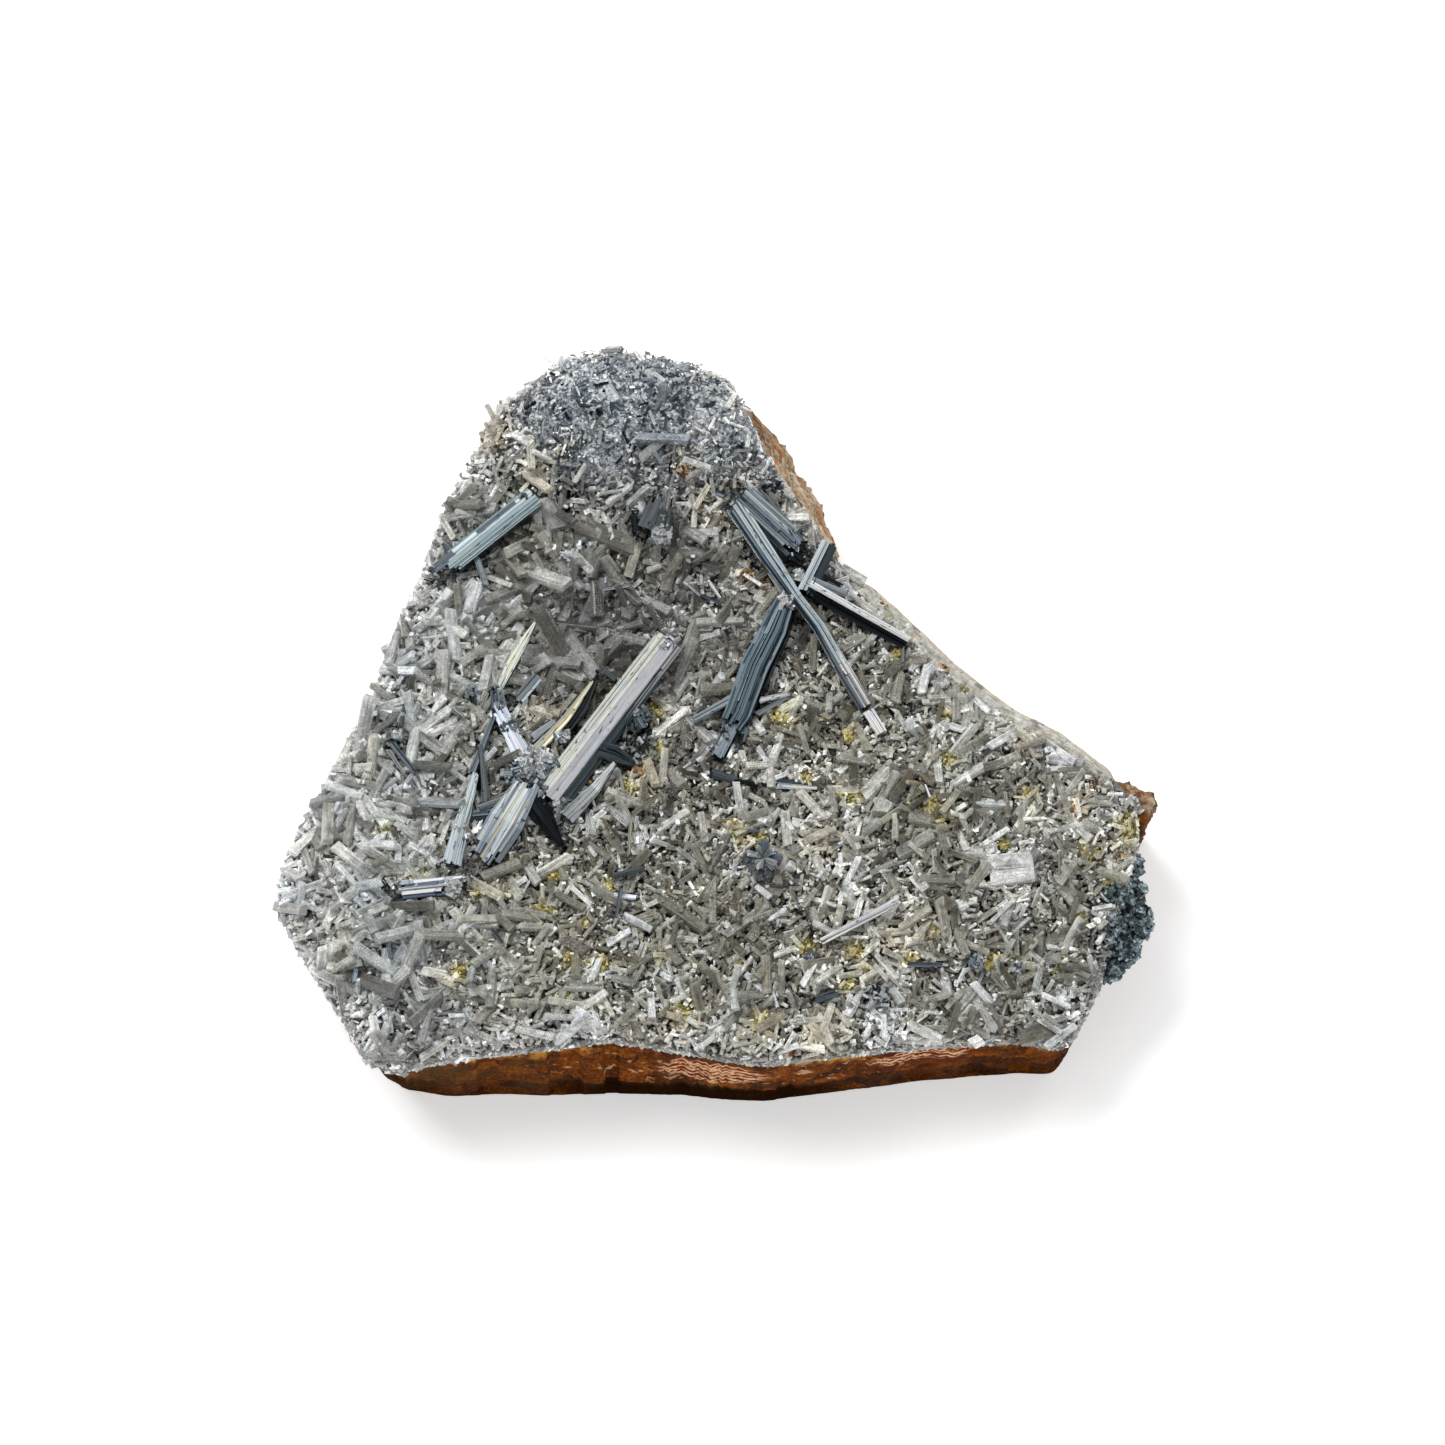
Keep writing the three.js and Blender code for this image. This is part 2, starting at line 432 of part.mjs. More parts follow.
// Laths strewn evenly over the crust: longer in the hollow, shorter on the knob and the plateau
function scatteredLaths() {
  const golden = 0.618034;
  const spots = Array.from({ length: 4 * BARITE_LATHS }, (unused, index) => ({
    x: between(index + 0.5, -58, 57),
    y: -51 + 101 * ((index * golden) % 1),
    index,
  }));
  const shape = new THREE.Shape(RIM.map(([x, y]) => new THREE.Vector2(x, y))).getPoints();
  const inside = ({ x, y }) => {
    const crossings = shape.filter((corner, index) => {
      const next = shape[(index + 1) % shape.length];
      const spans = corner.y > y !== next.y > y;
      return spans && x < corner.x + ((y - corner.y) / (next.y - corner.y)) * (next.x - corner.x);
    });
    return crossings.length % 2 === 1;
  };
  return spots.filter(inside).slice(0, BARITE_LATHS).map(({ x, y, index }) => {
    const hollow = bump(x, y, [-18, 10], [24, 16]);
    const turn = between(index * 7, 0, 2 * Math.PI);
    const tilt = between(index * 11, 0.1, 0.75);
    const length = between(index * 17, 3.6, 5.4) + 2 * hollow;
    const along = new THREE.Vector3().setFromSphericalCoords(1, 0.5 * Math.PI - tilt, turn);
    along.set(along.z, along.x, along.y);
    return lath({
      middle: new THREE.Vector3(x, y, crustTop(x, y) + 0.2),
      along,
      length,
      width: between(index * 23, 1.1, 1.7) + 0.4 * hollow,
      thickness: between(index * 29, 0.7, 1.1),
      roll: between(index * 31, -0.6, 0.6),
    });
  });
}

// Keeps the main body where a cut has freed a crumb
function mainBody(solid) {
  const bodies = solid.decompose();
  return bodies.reduce((best, body) => (body.volume() > best.volume() ? body : best));
}

const specimen = new THREE.Group();

function addPiece(name, solid, look) {
  const { vertProperties, triVerts } = solid.getMesh();
  const geometry = new THREE.BufferGeometry();
  geometry.setAttribute('position', new THREE.BufferAttribute(new Float32Array(vertProperties), 3));
  geometry.setIndex(new THREE.BufferAttribute(new Uint32Array(triVerts), 1));
  geometry.computeVertexNormals();
  const piece = new THREE.Mesh(geometry, new THREE.MeshStandardMaterial(look));
  piece.name = name;
  specimen.add(piece);
}

const stibnite = {
  stibnite_centre_cluster: CENTRE_CLUSTER,
  stibnite_right_cluster: RIGHT_CLUSTER,
  stibnite_upper_left_prism: UPPER_LEFT_PRISM,
  stibnite_lower_left_block: LOWER_LEFT_BLOCK,
  stibnite_step_block: STEP_BLOCK,
  stibnite_twin_needle: TWIN_NEEDLE,
  stibnite_low_needle: LOW_NEEDLE,
  stibnite_rosette: rosetteBlades(),
};
const everyCrystal = Object.values(stibnite).flat();
const sockets = joined(everyCrystal.map((each) => crystal(each, GAP)));
const edgeMass = joined(EDGE_MASS.map(lump));
const roomier = ([x, y, height, radius]) => [x, y, height, radius + GAP];
const edgeSocket = joined(EDGE_MASS.map(roomier).map(lump));

const outline = outlineBody();
const underCrust = heightBlock(ROCK_STEP, () => BELOW, crustBottom);
addPiece('wall_rock', mainBody(outline.intersect(underCrust).subtract(edgeSocket)), LOOKS.wallRock);

const crustSheet = outline.intersect(heightBlock(CRUST_STEP, () => BELOW, crustTop));
const laths = [...LARGE_LATHS.map(placedLath), ...scatteredLaths()];
const overRock = heightBlock(ROCK_STEP, () => BELOW, (x, y) => crustBottom(x, y) + GAP);
const grownCrust = joined([crustSheet, ...laths]).subtract(overRock);
addPiece('barite_crust', mainBody(grownCrust.subtract(sockets).subtract(edgeSocket)), LOOKS.barite);

Object.entries(stibnite).forEach(([name, crystals]) => {
  addPiece(name, joined(crystals.map((each) => crystal(each))), LOOKS.stibnite);
});
addPiece('massive_stibnite', edgeMass, LOOKS.massive);

export default specimen;
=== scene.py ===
"""The dressed stibnite specimen: metallic prisms on a crust of barite laths over a slab of rusty wall rock.

Lengths are in millimetres until a mesh is made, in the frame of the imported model: the slab's long front
face runs along X, the narrow raised end points to +Y, and the underside lies at height 0.
"""

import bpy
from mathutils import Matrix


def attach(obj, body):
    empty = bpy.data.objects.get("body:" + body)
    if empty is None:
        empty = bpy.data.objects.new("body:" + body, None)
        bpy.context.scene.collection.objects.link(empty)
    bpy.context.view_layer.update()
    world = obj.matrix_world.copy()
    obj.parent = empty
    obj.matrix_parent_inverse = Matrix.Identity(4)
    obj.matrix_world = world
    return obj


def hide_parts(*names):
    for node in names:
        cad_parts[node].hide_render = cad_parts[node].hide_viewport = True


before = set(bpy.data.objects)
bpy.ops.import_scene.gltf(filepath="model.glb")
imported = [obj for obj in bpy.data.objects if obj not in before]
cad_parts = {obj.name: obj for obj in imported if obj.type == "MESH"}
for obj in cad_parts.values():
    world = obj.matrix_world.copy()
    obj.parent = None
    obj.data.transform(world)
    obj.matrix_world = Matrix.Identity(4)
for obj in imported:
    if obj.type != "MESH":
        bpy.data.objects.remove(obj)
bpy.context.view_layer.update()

import logging
import math
from dataclasses import dataclass, field
from enum import Enum, IntEnum
from itertools import chain
from typing import ClassVar, Sequence, Union

import bpy
import numpy as np
from mathutils import Vector, geometry, noise

logging.basicConfig(level=logging.INFO, format="%(message)s")
log = logging.getLogger("specimen")

MM = 0.001
BODY = "root"
FULL_TURN = 2 * math.pi
GOLDEN_SHARE = 0.618034
WHITE = (1.0, 1.0, 1.0)
PLAIN_TINT = np.ones(4)
SKYWARD = np.array([0.0, 0.0, 1.0])

# Places were read off at the crust's usual height. One that lies 1 higher looks this much farther back,
# because the line of sight is 20 degrees off straight down.
CRUST_LEVEL = 20.0
SIGHT_SLOPE = 0.364

Array = np.ndarray

# The crust's rim, clockwise from the tip of the narrow end: x, y, and how far the foot of the wall rock
# stands out from under that place.
RIM = (
    (-16, 51.3, 0), (-8, 49.5, 0.5), (-1.5, 47.4, 2), (1, 45.9, 4), (3, 42, 6), (4.8, 38, 6.5),
    (6.8, 34, 6.5), (9, 30.5, 6), (12, 26.5, 4.5), (15.5, 21.5, 2.5), (21.5, 15.4, 1.5), (27, 10, 1.5),
    (31, 5.7, 1.5), (36, 1.5, 1.5), (40, -1.8, 1.5), (46, -4.8, 1.5), (51, -9, 1.5), (56, -11.8, 1),
    (59.6, -14, -1), (58, -17.4, -1), (56.6, -21.5, 0), (54.5, -29, 0), (53, -35, -1.5),
    (51.5, -39.5, -1.5), (49.7, -43.4, -1), (47.4, -47.8, -1.2), (45.5, -48.6, -0.5), (40, -47.7, 0.3),
    (34, -48.3, 0.2), (27, -49.1, 0), (20, -50, 0), (12, -51.2, 0), (6, -52.1, 0), (0, -51.4, 0.5),
    (-5, -50.5, 0.8), (-10, -49.6, 1.5), (-16, -48.8, 2.2), (-22, -49.8, 1.4), (-30, -50.6, 0.4),
    (-38, -51.3, 0), (-44.5, -52.5, -2.5), (-48.3, -51, -3), (-51, -46, -2), (-54.2, -40.5, -2),
    (-57.5, -35, -2), (-60.2, -30, -2.5), (-60.4, -26, -2.5), (-58.2, -19.5, -2), (-54, -11, -2),
    (-50, -4, -1.5), (-47.2, 3.5, -1.5), (-44.3, 13, -1.5), (-41, 20, -1.5), (-38.7, 27.5, -1),
    (-35.5, 34.5, -1), (-31.3, 43.5, -1), (-26, 46.5, -0.5), (-22.5, 50, 0),
)

# Large barite laths: the two ends' x and y, the width, and how far they stand out
LARGE_LATHS = (
    (-20.5, 25.8, -12.3, 22, 3, 0.9), (-20, 22.3, -17.5, 18.8, 1.4, 0.8),
    (-15.8, 17.6, -11, 19.3, 1.5, 0.9), (-14.8, 13.5, -10.8, 13.7, 1.5, 0.9), (-11, 13.9, -6.7, 13, 1.4, 1),
    (-6, 10, -1.2, 10.1, 1.4, 1), (-23, 7.5, -18, 12, 2, 1), (-31, 5, -28, 10.5, 1.8, 0.8),
    (-37, 11, -33, 10.5, 1.6, 0.7), (-9.3, -28.8, -2.2, -33.9, 1.7, 0.9),
    (0.2, -34.8, 6.1, -30.2, 1.4, 0.9), (0.2, 23, 3.2, 24.4, 1.3, 0.9),
    (-48.6, -17.7, -43.2, -16.3, 0.9, 1.2), (-50.6, -16.6, -46.8, -14.9, 1.1, 1),
    (-42.4, -19.8, -40.4, -22.4, 1.2, 0.9), (-54.6, -23.9, -53.6, -26.2, 1.3, 0.8),
    (-52, -33, -50.4, -37.4, 2, 0.8), (-46, -31, -44, -34.2, 1.8, 0.9),
    (-35, -44.9, -33.2, -48.2, 1.3, 0.9), (-15.8, -15.9, -12.6, -18.6, 1.2, 0.9),
    (3.6, -43.4, 0.4, -48, 1.5, 0.9), (-8.4, -35.2, -5.8, -38.6, 1.5, 0.9),
    (40.6, -49.4, 45.6, -48.2, 2.2, 0.8), (30.2, -40.4, 30.8, -43.4, 1.5, 0.8),
    (32, -45.2, 35, -41.6, 1.8, 0.8), (45, -35.2, 50.2, -33, 1.6, 0.9), (24, -23, 29, -19.9, 2, 0.8),
    (19.4, -14.4, 23.6, -9.8, 2.2, 0.9), (20.4, -19, 22.6, -15, 2.4, 0.9), (37.4, -10, 41, -8.4, 1.5, 0.9),
    (22, -11.9, 27.6, -10.6, 1.3, 0.8), (8, -28, 4, -27.6, 1.3, 0.8), (-25.2, 29.2, -22.6, 25, 2.8, 1.2),
    (-10.6, 48.2, -7.6, 45.4, 1.3, 0.9), (-12, 38.4, -4.6, 38.2, 1.3, 1), (-29, 39, -26.4, 37.4, 1.3, 0.9),
    (-20, 22, -21, 18.5, 1.6, 0.8), (-24.5, 14, -20.5, 15.5, 1.7, 0.7), (-17, 12.5, -17, 9, 1.6, 0.8),
    (-34, 15.5, -30.5, 12, 1.6, 0.7), (-29, 18.5, -26.5, 15, 1.8, 0.7), (-42.5, 4, -39, 6.5, 1.6, 0.7),
    (-8, 19.5, -4.5, 17.2, 1.4, 0.7), (-3.5, 6.5, -7.5, 4, 1.4, 0.8), (-38, 3, -36, -1, 1.3, 0.7),
    (22.4, -41.4, 24.4, -44.4, 1.4, 0.9), (23, -49.3, 30, -49.6, 1.1, 0.7),
    (45.6, -40.6, 51.6, -40.4, 1.8, 0.8), (16.8, -27, 18, -31, 1.2, 0.8),
    (-14.8, -40.6, -11.8, -41.5, 1.3, 0.8), (28.5, -27.5, 33, -26.5, 1.5, 0.8),
    (44.5, -9, 49.5, -9.6, 1.2, 0.7), (46, -12, 47.5, -16.5, 1.2, 0.7), (37, -16, 39.5, -20.5, 1.1, 0.8),
    (-28.5, -41.5, -34.5, -42.8, 1.5, 0.8), (-22, -35, -18.5, -37, 1.8, 0.8),
    (-49, -10, -46.5, -12.5, 1.4, 0.8), (-1.3, -27, -1.3, -33, 1.2, 0.8), (12, -30.5, 13, -33.5, 1.2, 0.8),
    (44, -11, 50, -10.5, 1.2, 0.8), (4, -28, 8, -28.5, 1.2, 1), (44, -36, 50, -33.5, 1.5, 0.8),
    (31, -28, 27, -27, 1.3, 0.8), (-13, 28.6, -10, 31.2, 1.1, 0.8), (-30, 22.4, -27.2, 20.4, 1.5, 0.8),
)

# White laths and chips among them, in the same terms
WHITE_LATHS = (
    (35.2, -24.1, 42.4, -23.7, 2.3, 1.2), (36.8, -26.5, 42.8, -25.6, 2.2, 1.1),
    (-41, -13.6, -40.4, -19.5, 1.2, 1.1), (8.3, -24.9, 9.7, -24.3, 1.3, 1.3),
    (13.2, -26.2, 14.1, -24.9, 0.8, 1.3), (32.2, -30.6, 33.5, -30, 1.5, 1.3),
    (27, -27.8, 28.1, -27, 1.2, 1.2), (36.2, -22.6, 37.3, -21.8, 1.2, 1.2),
    (33.8, -50.2, 35.2, -49.4, 1.4, 1), (45.7, -44.1, 47, -43.4, 1.3, 1.1),
    (-37.8, -1.2, -35.4, -2.9, 0.8, 1.4), (-58, -31, -56.8, -29.8, 1.2, 1.1),
)

# Patches of the crust, each x, y and radius
OCHRE = (
    (24, 6.1, 0.8), (13.5, -2.5, 0.8), (17.6, -5.5, 1), (11.4, -12, 0.8), (15.9, -14.2, 0.9),
    (31.2, -8.9, 0.8), (31.5, -1.8, 0.9), (22.6, 11.1, 0.7), (-29.5, -28.5, 0.9), (-15.5, -27.5, 0.9),
    (1.5, -38.5, 1), (28.5, -33.5, 1), (8, -2.5, 1.8), (-10, -2, 1.5), (-9, -7.5, 1.4), (-24, -30.5, 1.5),
    (-23, -26, 0.8), (5, -46.5, 1.4), (-5.5, -45.5, 1.4), (18, -36.5, 1.6), (11.6, -36.3, 1.2),
    (20, -39.5, 1.3), (36, -37.5, 1.6), (40, -38, 1.1), (47, -38, 1.3), (53.5, -26.5, 1.6),
    (18, -14.5, 1.3), (-13, -13.5, 1.2), (29, -16.5, 2.2), (31.2, -9, 1.2), (32.5, 0.5, 1.1), (31, -2, 0.9),
    (49.8, -22.5, 1.3), (55.5, -18.5, 1.5), (55, -20.8, 1), (25.5, -37.5, 1), (2, -19.5, 1.4),
    (5, -21, 1.2), (-16.5, -38.5, 1.1), (-20.5, -38, 1.3), (-21.5, -43.5, 1), (48.5, -31.5, 1),
    (-33, -28.5, 1), (27.5, -22, 1.2), (17, -41.5, 1), (-41.5, -26.5, 1.4), (-46, -19, 1.4),
    (-19, -33, 0.8), (38.5, -21, 0.9), (-8.5, -37.5, 0.8), (42, -14, 1), (-36, -40, 1.2), (-28, -24.5, 1),
)
PALE = (
    (39, -24.5, 4.2), (-57.5, -28, 4.5), (-54, -38, 2), (32.7, -30.2, 0.9), (27.5, -27, 0.8),
    (36.5, -22, 0.8), (23.5, -37.5, 4), (14, -20.5, 3.2), (-7.5, -2.5, 2.4), (-4.5, 36, 2.6), (3.5, 31, 2),
    (2, 43.5, 2.2), (-25, 33, 2.5), (-14, 31.5, 1.8), (-33, 38, 2), (-24, 47, 2.5), (-26.5, -1.5, 1.4),
    (30, 3.5, 3), (38, -3, 3), (46, -8, 2.5), (54.5, -15.5, 2.5), (17, 16.5, 2.5), (23, 11, 2.4),
    (48, -44, 2.5), (36, -46.5, 2), (24, -48, 3), (8, -50, 3), (-8, -48, 3), (-18, -47.6, 3.2),
    (-28, -49, 3), (-37, -49.5, 3), (9, 27, 2),
)
RUST = (
    (22.6, 14, 0.7), (30.2, 4.4, 0.7), (5.7, 17.2, 0.8), (12.4, 14, 0.6), (-17.8, -12.4, 0.7),
    (-38, -17, 0.6), (41.5, -7, 1), (51, -12.5, 1.1), (54.5, -22.5, 0.9), (-2, 26, 2.2), (6, 16, 0.9),
    (3.5, 18.5, 1.1), (-11.5, -10.5, 1), (-23, -26, 0.8), (-6.5, 20, 1.4), (35, -5.5, 0.8), (13, -52, 1.6),
    (9.5, -51.8, 1.2), (-5, 32.5, 1), (48, -16, 0.9),
)
CREAM = (
    (-5, 35, 2), (-26, 33, 1.6), (-31, 38, 2.2), (22.5, -35.5, 2.6), (14, -48.4, 2.6), (-6, -46.5, 2),
    (5, -48, 2.2), (-9.6, -2.4, 1.7), (-25.4, -1, 1.3), (-39.6, -21, 1.6), (-10.6, -11.4, 1.8),
    (14.5, -22, 1.6), (33, 4, 1.6), (-3, 29.5, 1.2), (3.2, -21.4, 1.7), (42, -4.6, 1.6),
    (-36.6, -40.6, 1.6), (27, -12, 1.2), (8.8, 14, 1.2), (49, -15, 1.4),
)
DUSKY = (
    (-13, 34, 5.5), (-17, 40, 4), (-9, 42.5, 4), (-20, 32, 3), (7.3, 32, 1.1), (-54, -41, 2.2),
    (34.5, -38.5, 1.3), (40, -39, 1.2), (21, -43, 1.3), (-11.5, -6.5, 2.6), (12, -38.4, 0.8),
    (5.5, -23.5, 2.2), (-45, -8, 1.6), (-22, -19, 2.4), (-35, 22, 2.2), (-9, 25, 2.4), (8, 25, 2.5),
    (53, -36, 2.2), (53, -31, 2), (-37, 19, 2), (13, 15, 2), (16, -51, 1.5), (-48, -28, 1.6),
)


class End(Enum):
    """How far, in millimetres, the strands of a stibnite prism differ where it ends."""

    CLEAN = 0.1
    BROKEN = 0.5
    RAGGED = 1.4
    SPLINTERED = 3.0


class Metal(Enum):
    """Colour of a stibnite prism."""

    BRIGHT = (0.92, 0.93, 0.95)
    SILVER = (0.7, 0.72, 0.72)
    PEWTER = (0.5, 0.56, 0.585)
    STEEL = (0.38, 0.43, 0.46)
    BLUE = (0.24, 0.29, 0.34)
    TEAL = (0.15, 0.19, 0.212)
    BLACK = (0.035, 0.042, 0.048)
    STRAW = (0.62, 0.6, 0.48)


class Growth(Enum):
    """Colours of the crust's laths, from the darkest to the lightest, by where they grew."""

    PLATEAU = (
        (0.014, 0.01, 0.004), (0.1, 0.082, 0.04), (0.29, 0.28, 0.222), (0.57, 0.575, 0.535),
        (0.92, 0.94, 0.93),
    )
    HOLLOW = (
        (0.005, 0.004, 0.003), (0.022, 0.018, 0.012), (0.068, 0.066, 0.058), (0.17, 0.173, 0.166),
        (0.45, 0.46, 0.45),
    )
    LEFT = (
        (0.03, 0.029, 0.022), (0.15, 0.152, 0.13), (0.39, 0.405, 0.385), (0.64, 0.665, 0.655),
        (0.93, 0.95, 0.95),
    )
    KNOB = (
        (0.03, 0.04, 0.055), (0.17, 0.195, 0.225), (0.42, 0.45, 0.475), (0.7, 0.725, 0.74),
        (0.92, 0.93, 0.94),
    )
    RIM = (
        (0.12, 0.115, 0.1), (0.38, 0.37, 0.345), (0.64, 0.635, 0.61), (0.82, 0.82, 0.8), (0.94, 0.94, 0.93),
    )
    CREAM = (
        (0.16, 0.12, 0.06), (0.36, 0.3, 0.18), (0.56, 0.5, 0.35), (0.72, 0.67, 0.52), (0.85, 0.81, 0.68),
    )
    DUSKY = (
        (0.02, 0.025, 0.03), (0.06, 0.075, 0.09), (0.13, 0.155, 0.18), (0.25, 0.28, 0.3), (0.5, 0.52, 0.53),
    )


class Form(Enum):
    """Forms of scattered barite: a lath bevelled all round, a bar bevelled lengthwise, and a plain grain."""

    LATH = "lath"
    BAR = "bar"
    GRAIN = "grain"


class Seed(IntEnum):
    """Seeds of the random draws."""

    LARGE_LATHS = 3
    STREWN_LATHS = 4
    BARITE = 11
    OCHRE = 51
    RUST = 52
    NEEDLES = 71
    NEEDLE_FORMS = 72
    MASS = 91
    MASS_CORES = 300
    CLUMPS = 500
    SMALL_NEEDLES = 900


def chance(seed: float) -> float:
    """Gives the same number, from 0 up to 1, for the same seed."""
    wave = math.sin(seed * 127.1 + 311.7) * 43758.5453
    return wave - math.floor(wave)


def between(seed: float, low: float, high: float) -> float:
    """Gives the same number, from low to high, for the same seed."""
    return low + (high - low) * chance(seed)


def bump(x: Array, y: Array, middle: Sequence[float], reach: Sequence[float], power: float = 2.0) -> Array:
    """A soft bump, 1 at its middle and falling to nothing at its reach; a higher power flattens its top."""
    return np.exp(-np.abs((x - middle[0]) / reach[0]) ** power - np.abs((y - middle[1]) / reach[1]) ** power)


def near_patches(x: Array, y: Array, patches: Sequence[Sequence[float]]) -> Array:
    """How much places belong to any of some round patches.

    Args:
        x: Places along X.
        y: Places along Y.
        patches: Middle and radius of each patch.

    Returns:
        A share from 0 to 1 at each place.
    """
    share = np.zeros(len(x))
    for middle_x, middle_y, radius in patches:
        share = np.maximum(share, bump(x, y, (middle_x, middle_y), (radius * 1.2, radius * 1.2)))
    return share


def smooth(value: Array, low: float, high: float) -> Array:
    """Smooth step from 0 at low to 1 at high, for each value."""
    share = np.clip((value - low) / (high - low), 0.0, 1.0)
    return share * share * (3.0 - 2.0 * share)


def unit(vectors: Array) -> Array:
    """Scales vectors, which lie along the last axis, to length 1."""
    return vectors / np.maximum(np.linalg.norm(vectors, axis=-1, keepdims=True), 1e-9)


def lumps(points: Array, size: float, seed: float, octaves: int = 3) -> Array:
    """Cloudy noise at many places.

    Args:
        points: Places, one a row.
        size: Width of the largest lumps.
        seed: Shifts the pattern.
        octaves: How many finer layers are added.

    Returns:
        A number near -1 to 1 at each place.
    """
    shift = Vector((seed * 7.3, seed * 3.1, seed * 5.7))
    cloud = (noise.fractal(Vector(point) / size + shift, 0.6, 2.0, octaves) for point in points.tolist())
    return np.fromiter(cloud, float, len(points))


def chips(points: Array, size: float, seed: int, area: float = 9000.0, batch: int = 4000) -> Array:
    """Broken flat facets: each place takes the tilted plane of the nearest seed point.

    Args:
        points: Places, one a row.
        size: Usual width of a facet.
        seed: Seed of the draw.
        area: The area that the facets share, in square millimetres.
        batch: How many places are worked out at once.

    Returns:
        The facets' relief, as a share of their size.
    """
    fewest, most, highest = 60, 1200, 0.6
    shift_spread, tilt_spread, level_spread = 0.2, 0.3, 0.2
    rng = np.random.default_rng(seed)
    count = int(np.clip(area / size**2, fewest, most))
    seeds = points[rng.integers(0, len(points), count)] + rng.normal(0, shift_spread * size, (count, 3))
    tilt = rng.normal(0.0, tilt_spread, (count, 3))
    level = rng.normal(0.0, level_spread, count)
    nearest = np.empty(len(points), int)
    for start in range(0, len(points), batch):
        part = points[start:start + batch]
        nearest[start:start + batch] = np.argmin(((part[:, None] - seeds[None]) ** 2).sum(axis=2), axis=1)
    offset = (points - seeds[nearest]) / size
    return np.clip(level[nearest] + (offset * tilt[nearest]).sum(axis=1), -highest, highest)


def seen(x: float, y: float, height: float) -> Array:
    """Brings a place read at the crust's usual height to its own height, along the line of sight."""
    return np.array([x, y - SIGHT_SLOPE * (height - CRUST_LEVEL), height], float)


def segment_gap(x: Array, y: Array, start: Sequence[float], stop: Sequence[float]) -> Array:
    """Distance in plan from places to a straight stretch.

    Args:
        x: Places along X.
        y: Places along Y.
        start: The stretch's start.
        stop: Its end.

    Returns:
        The distance of each place.
    """
    run = np.array([stop[0] - start[0], stop[1] - start[1]])
    share = ((x - start[0]) * run[0] + (y - start[1]) * run[1]) / float(run @ run)
    share = np.clip(share, 0.0, 1.0)
    return np.hypot(x - start[0] - share * run[0], y - start[1] - share * run[1])


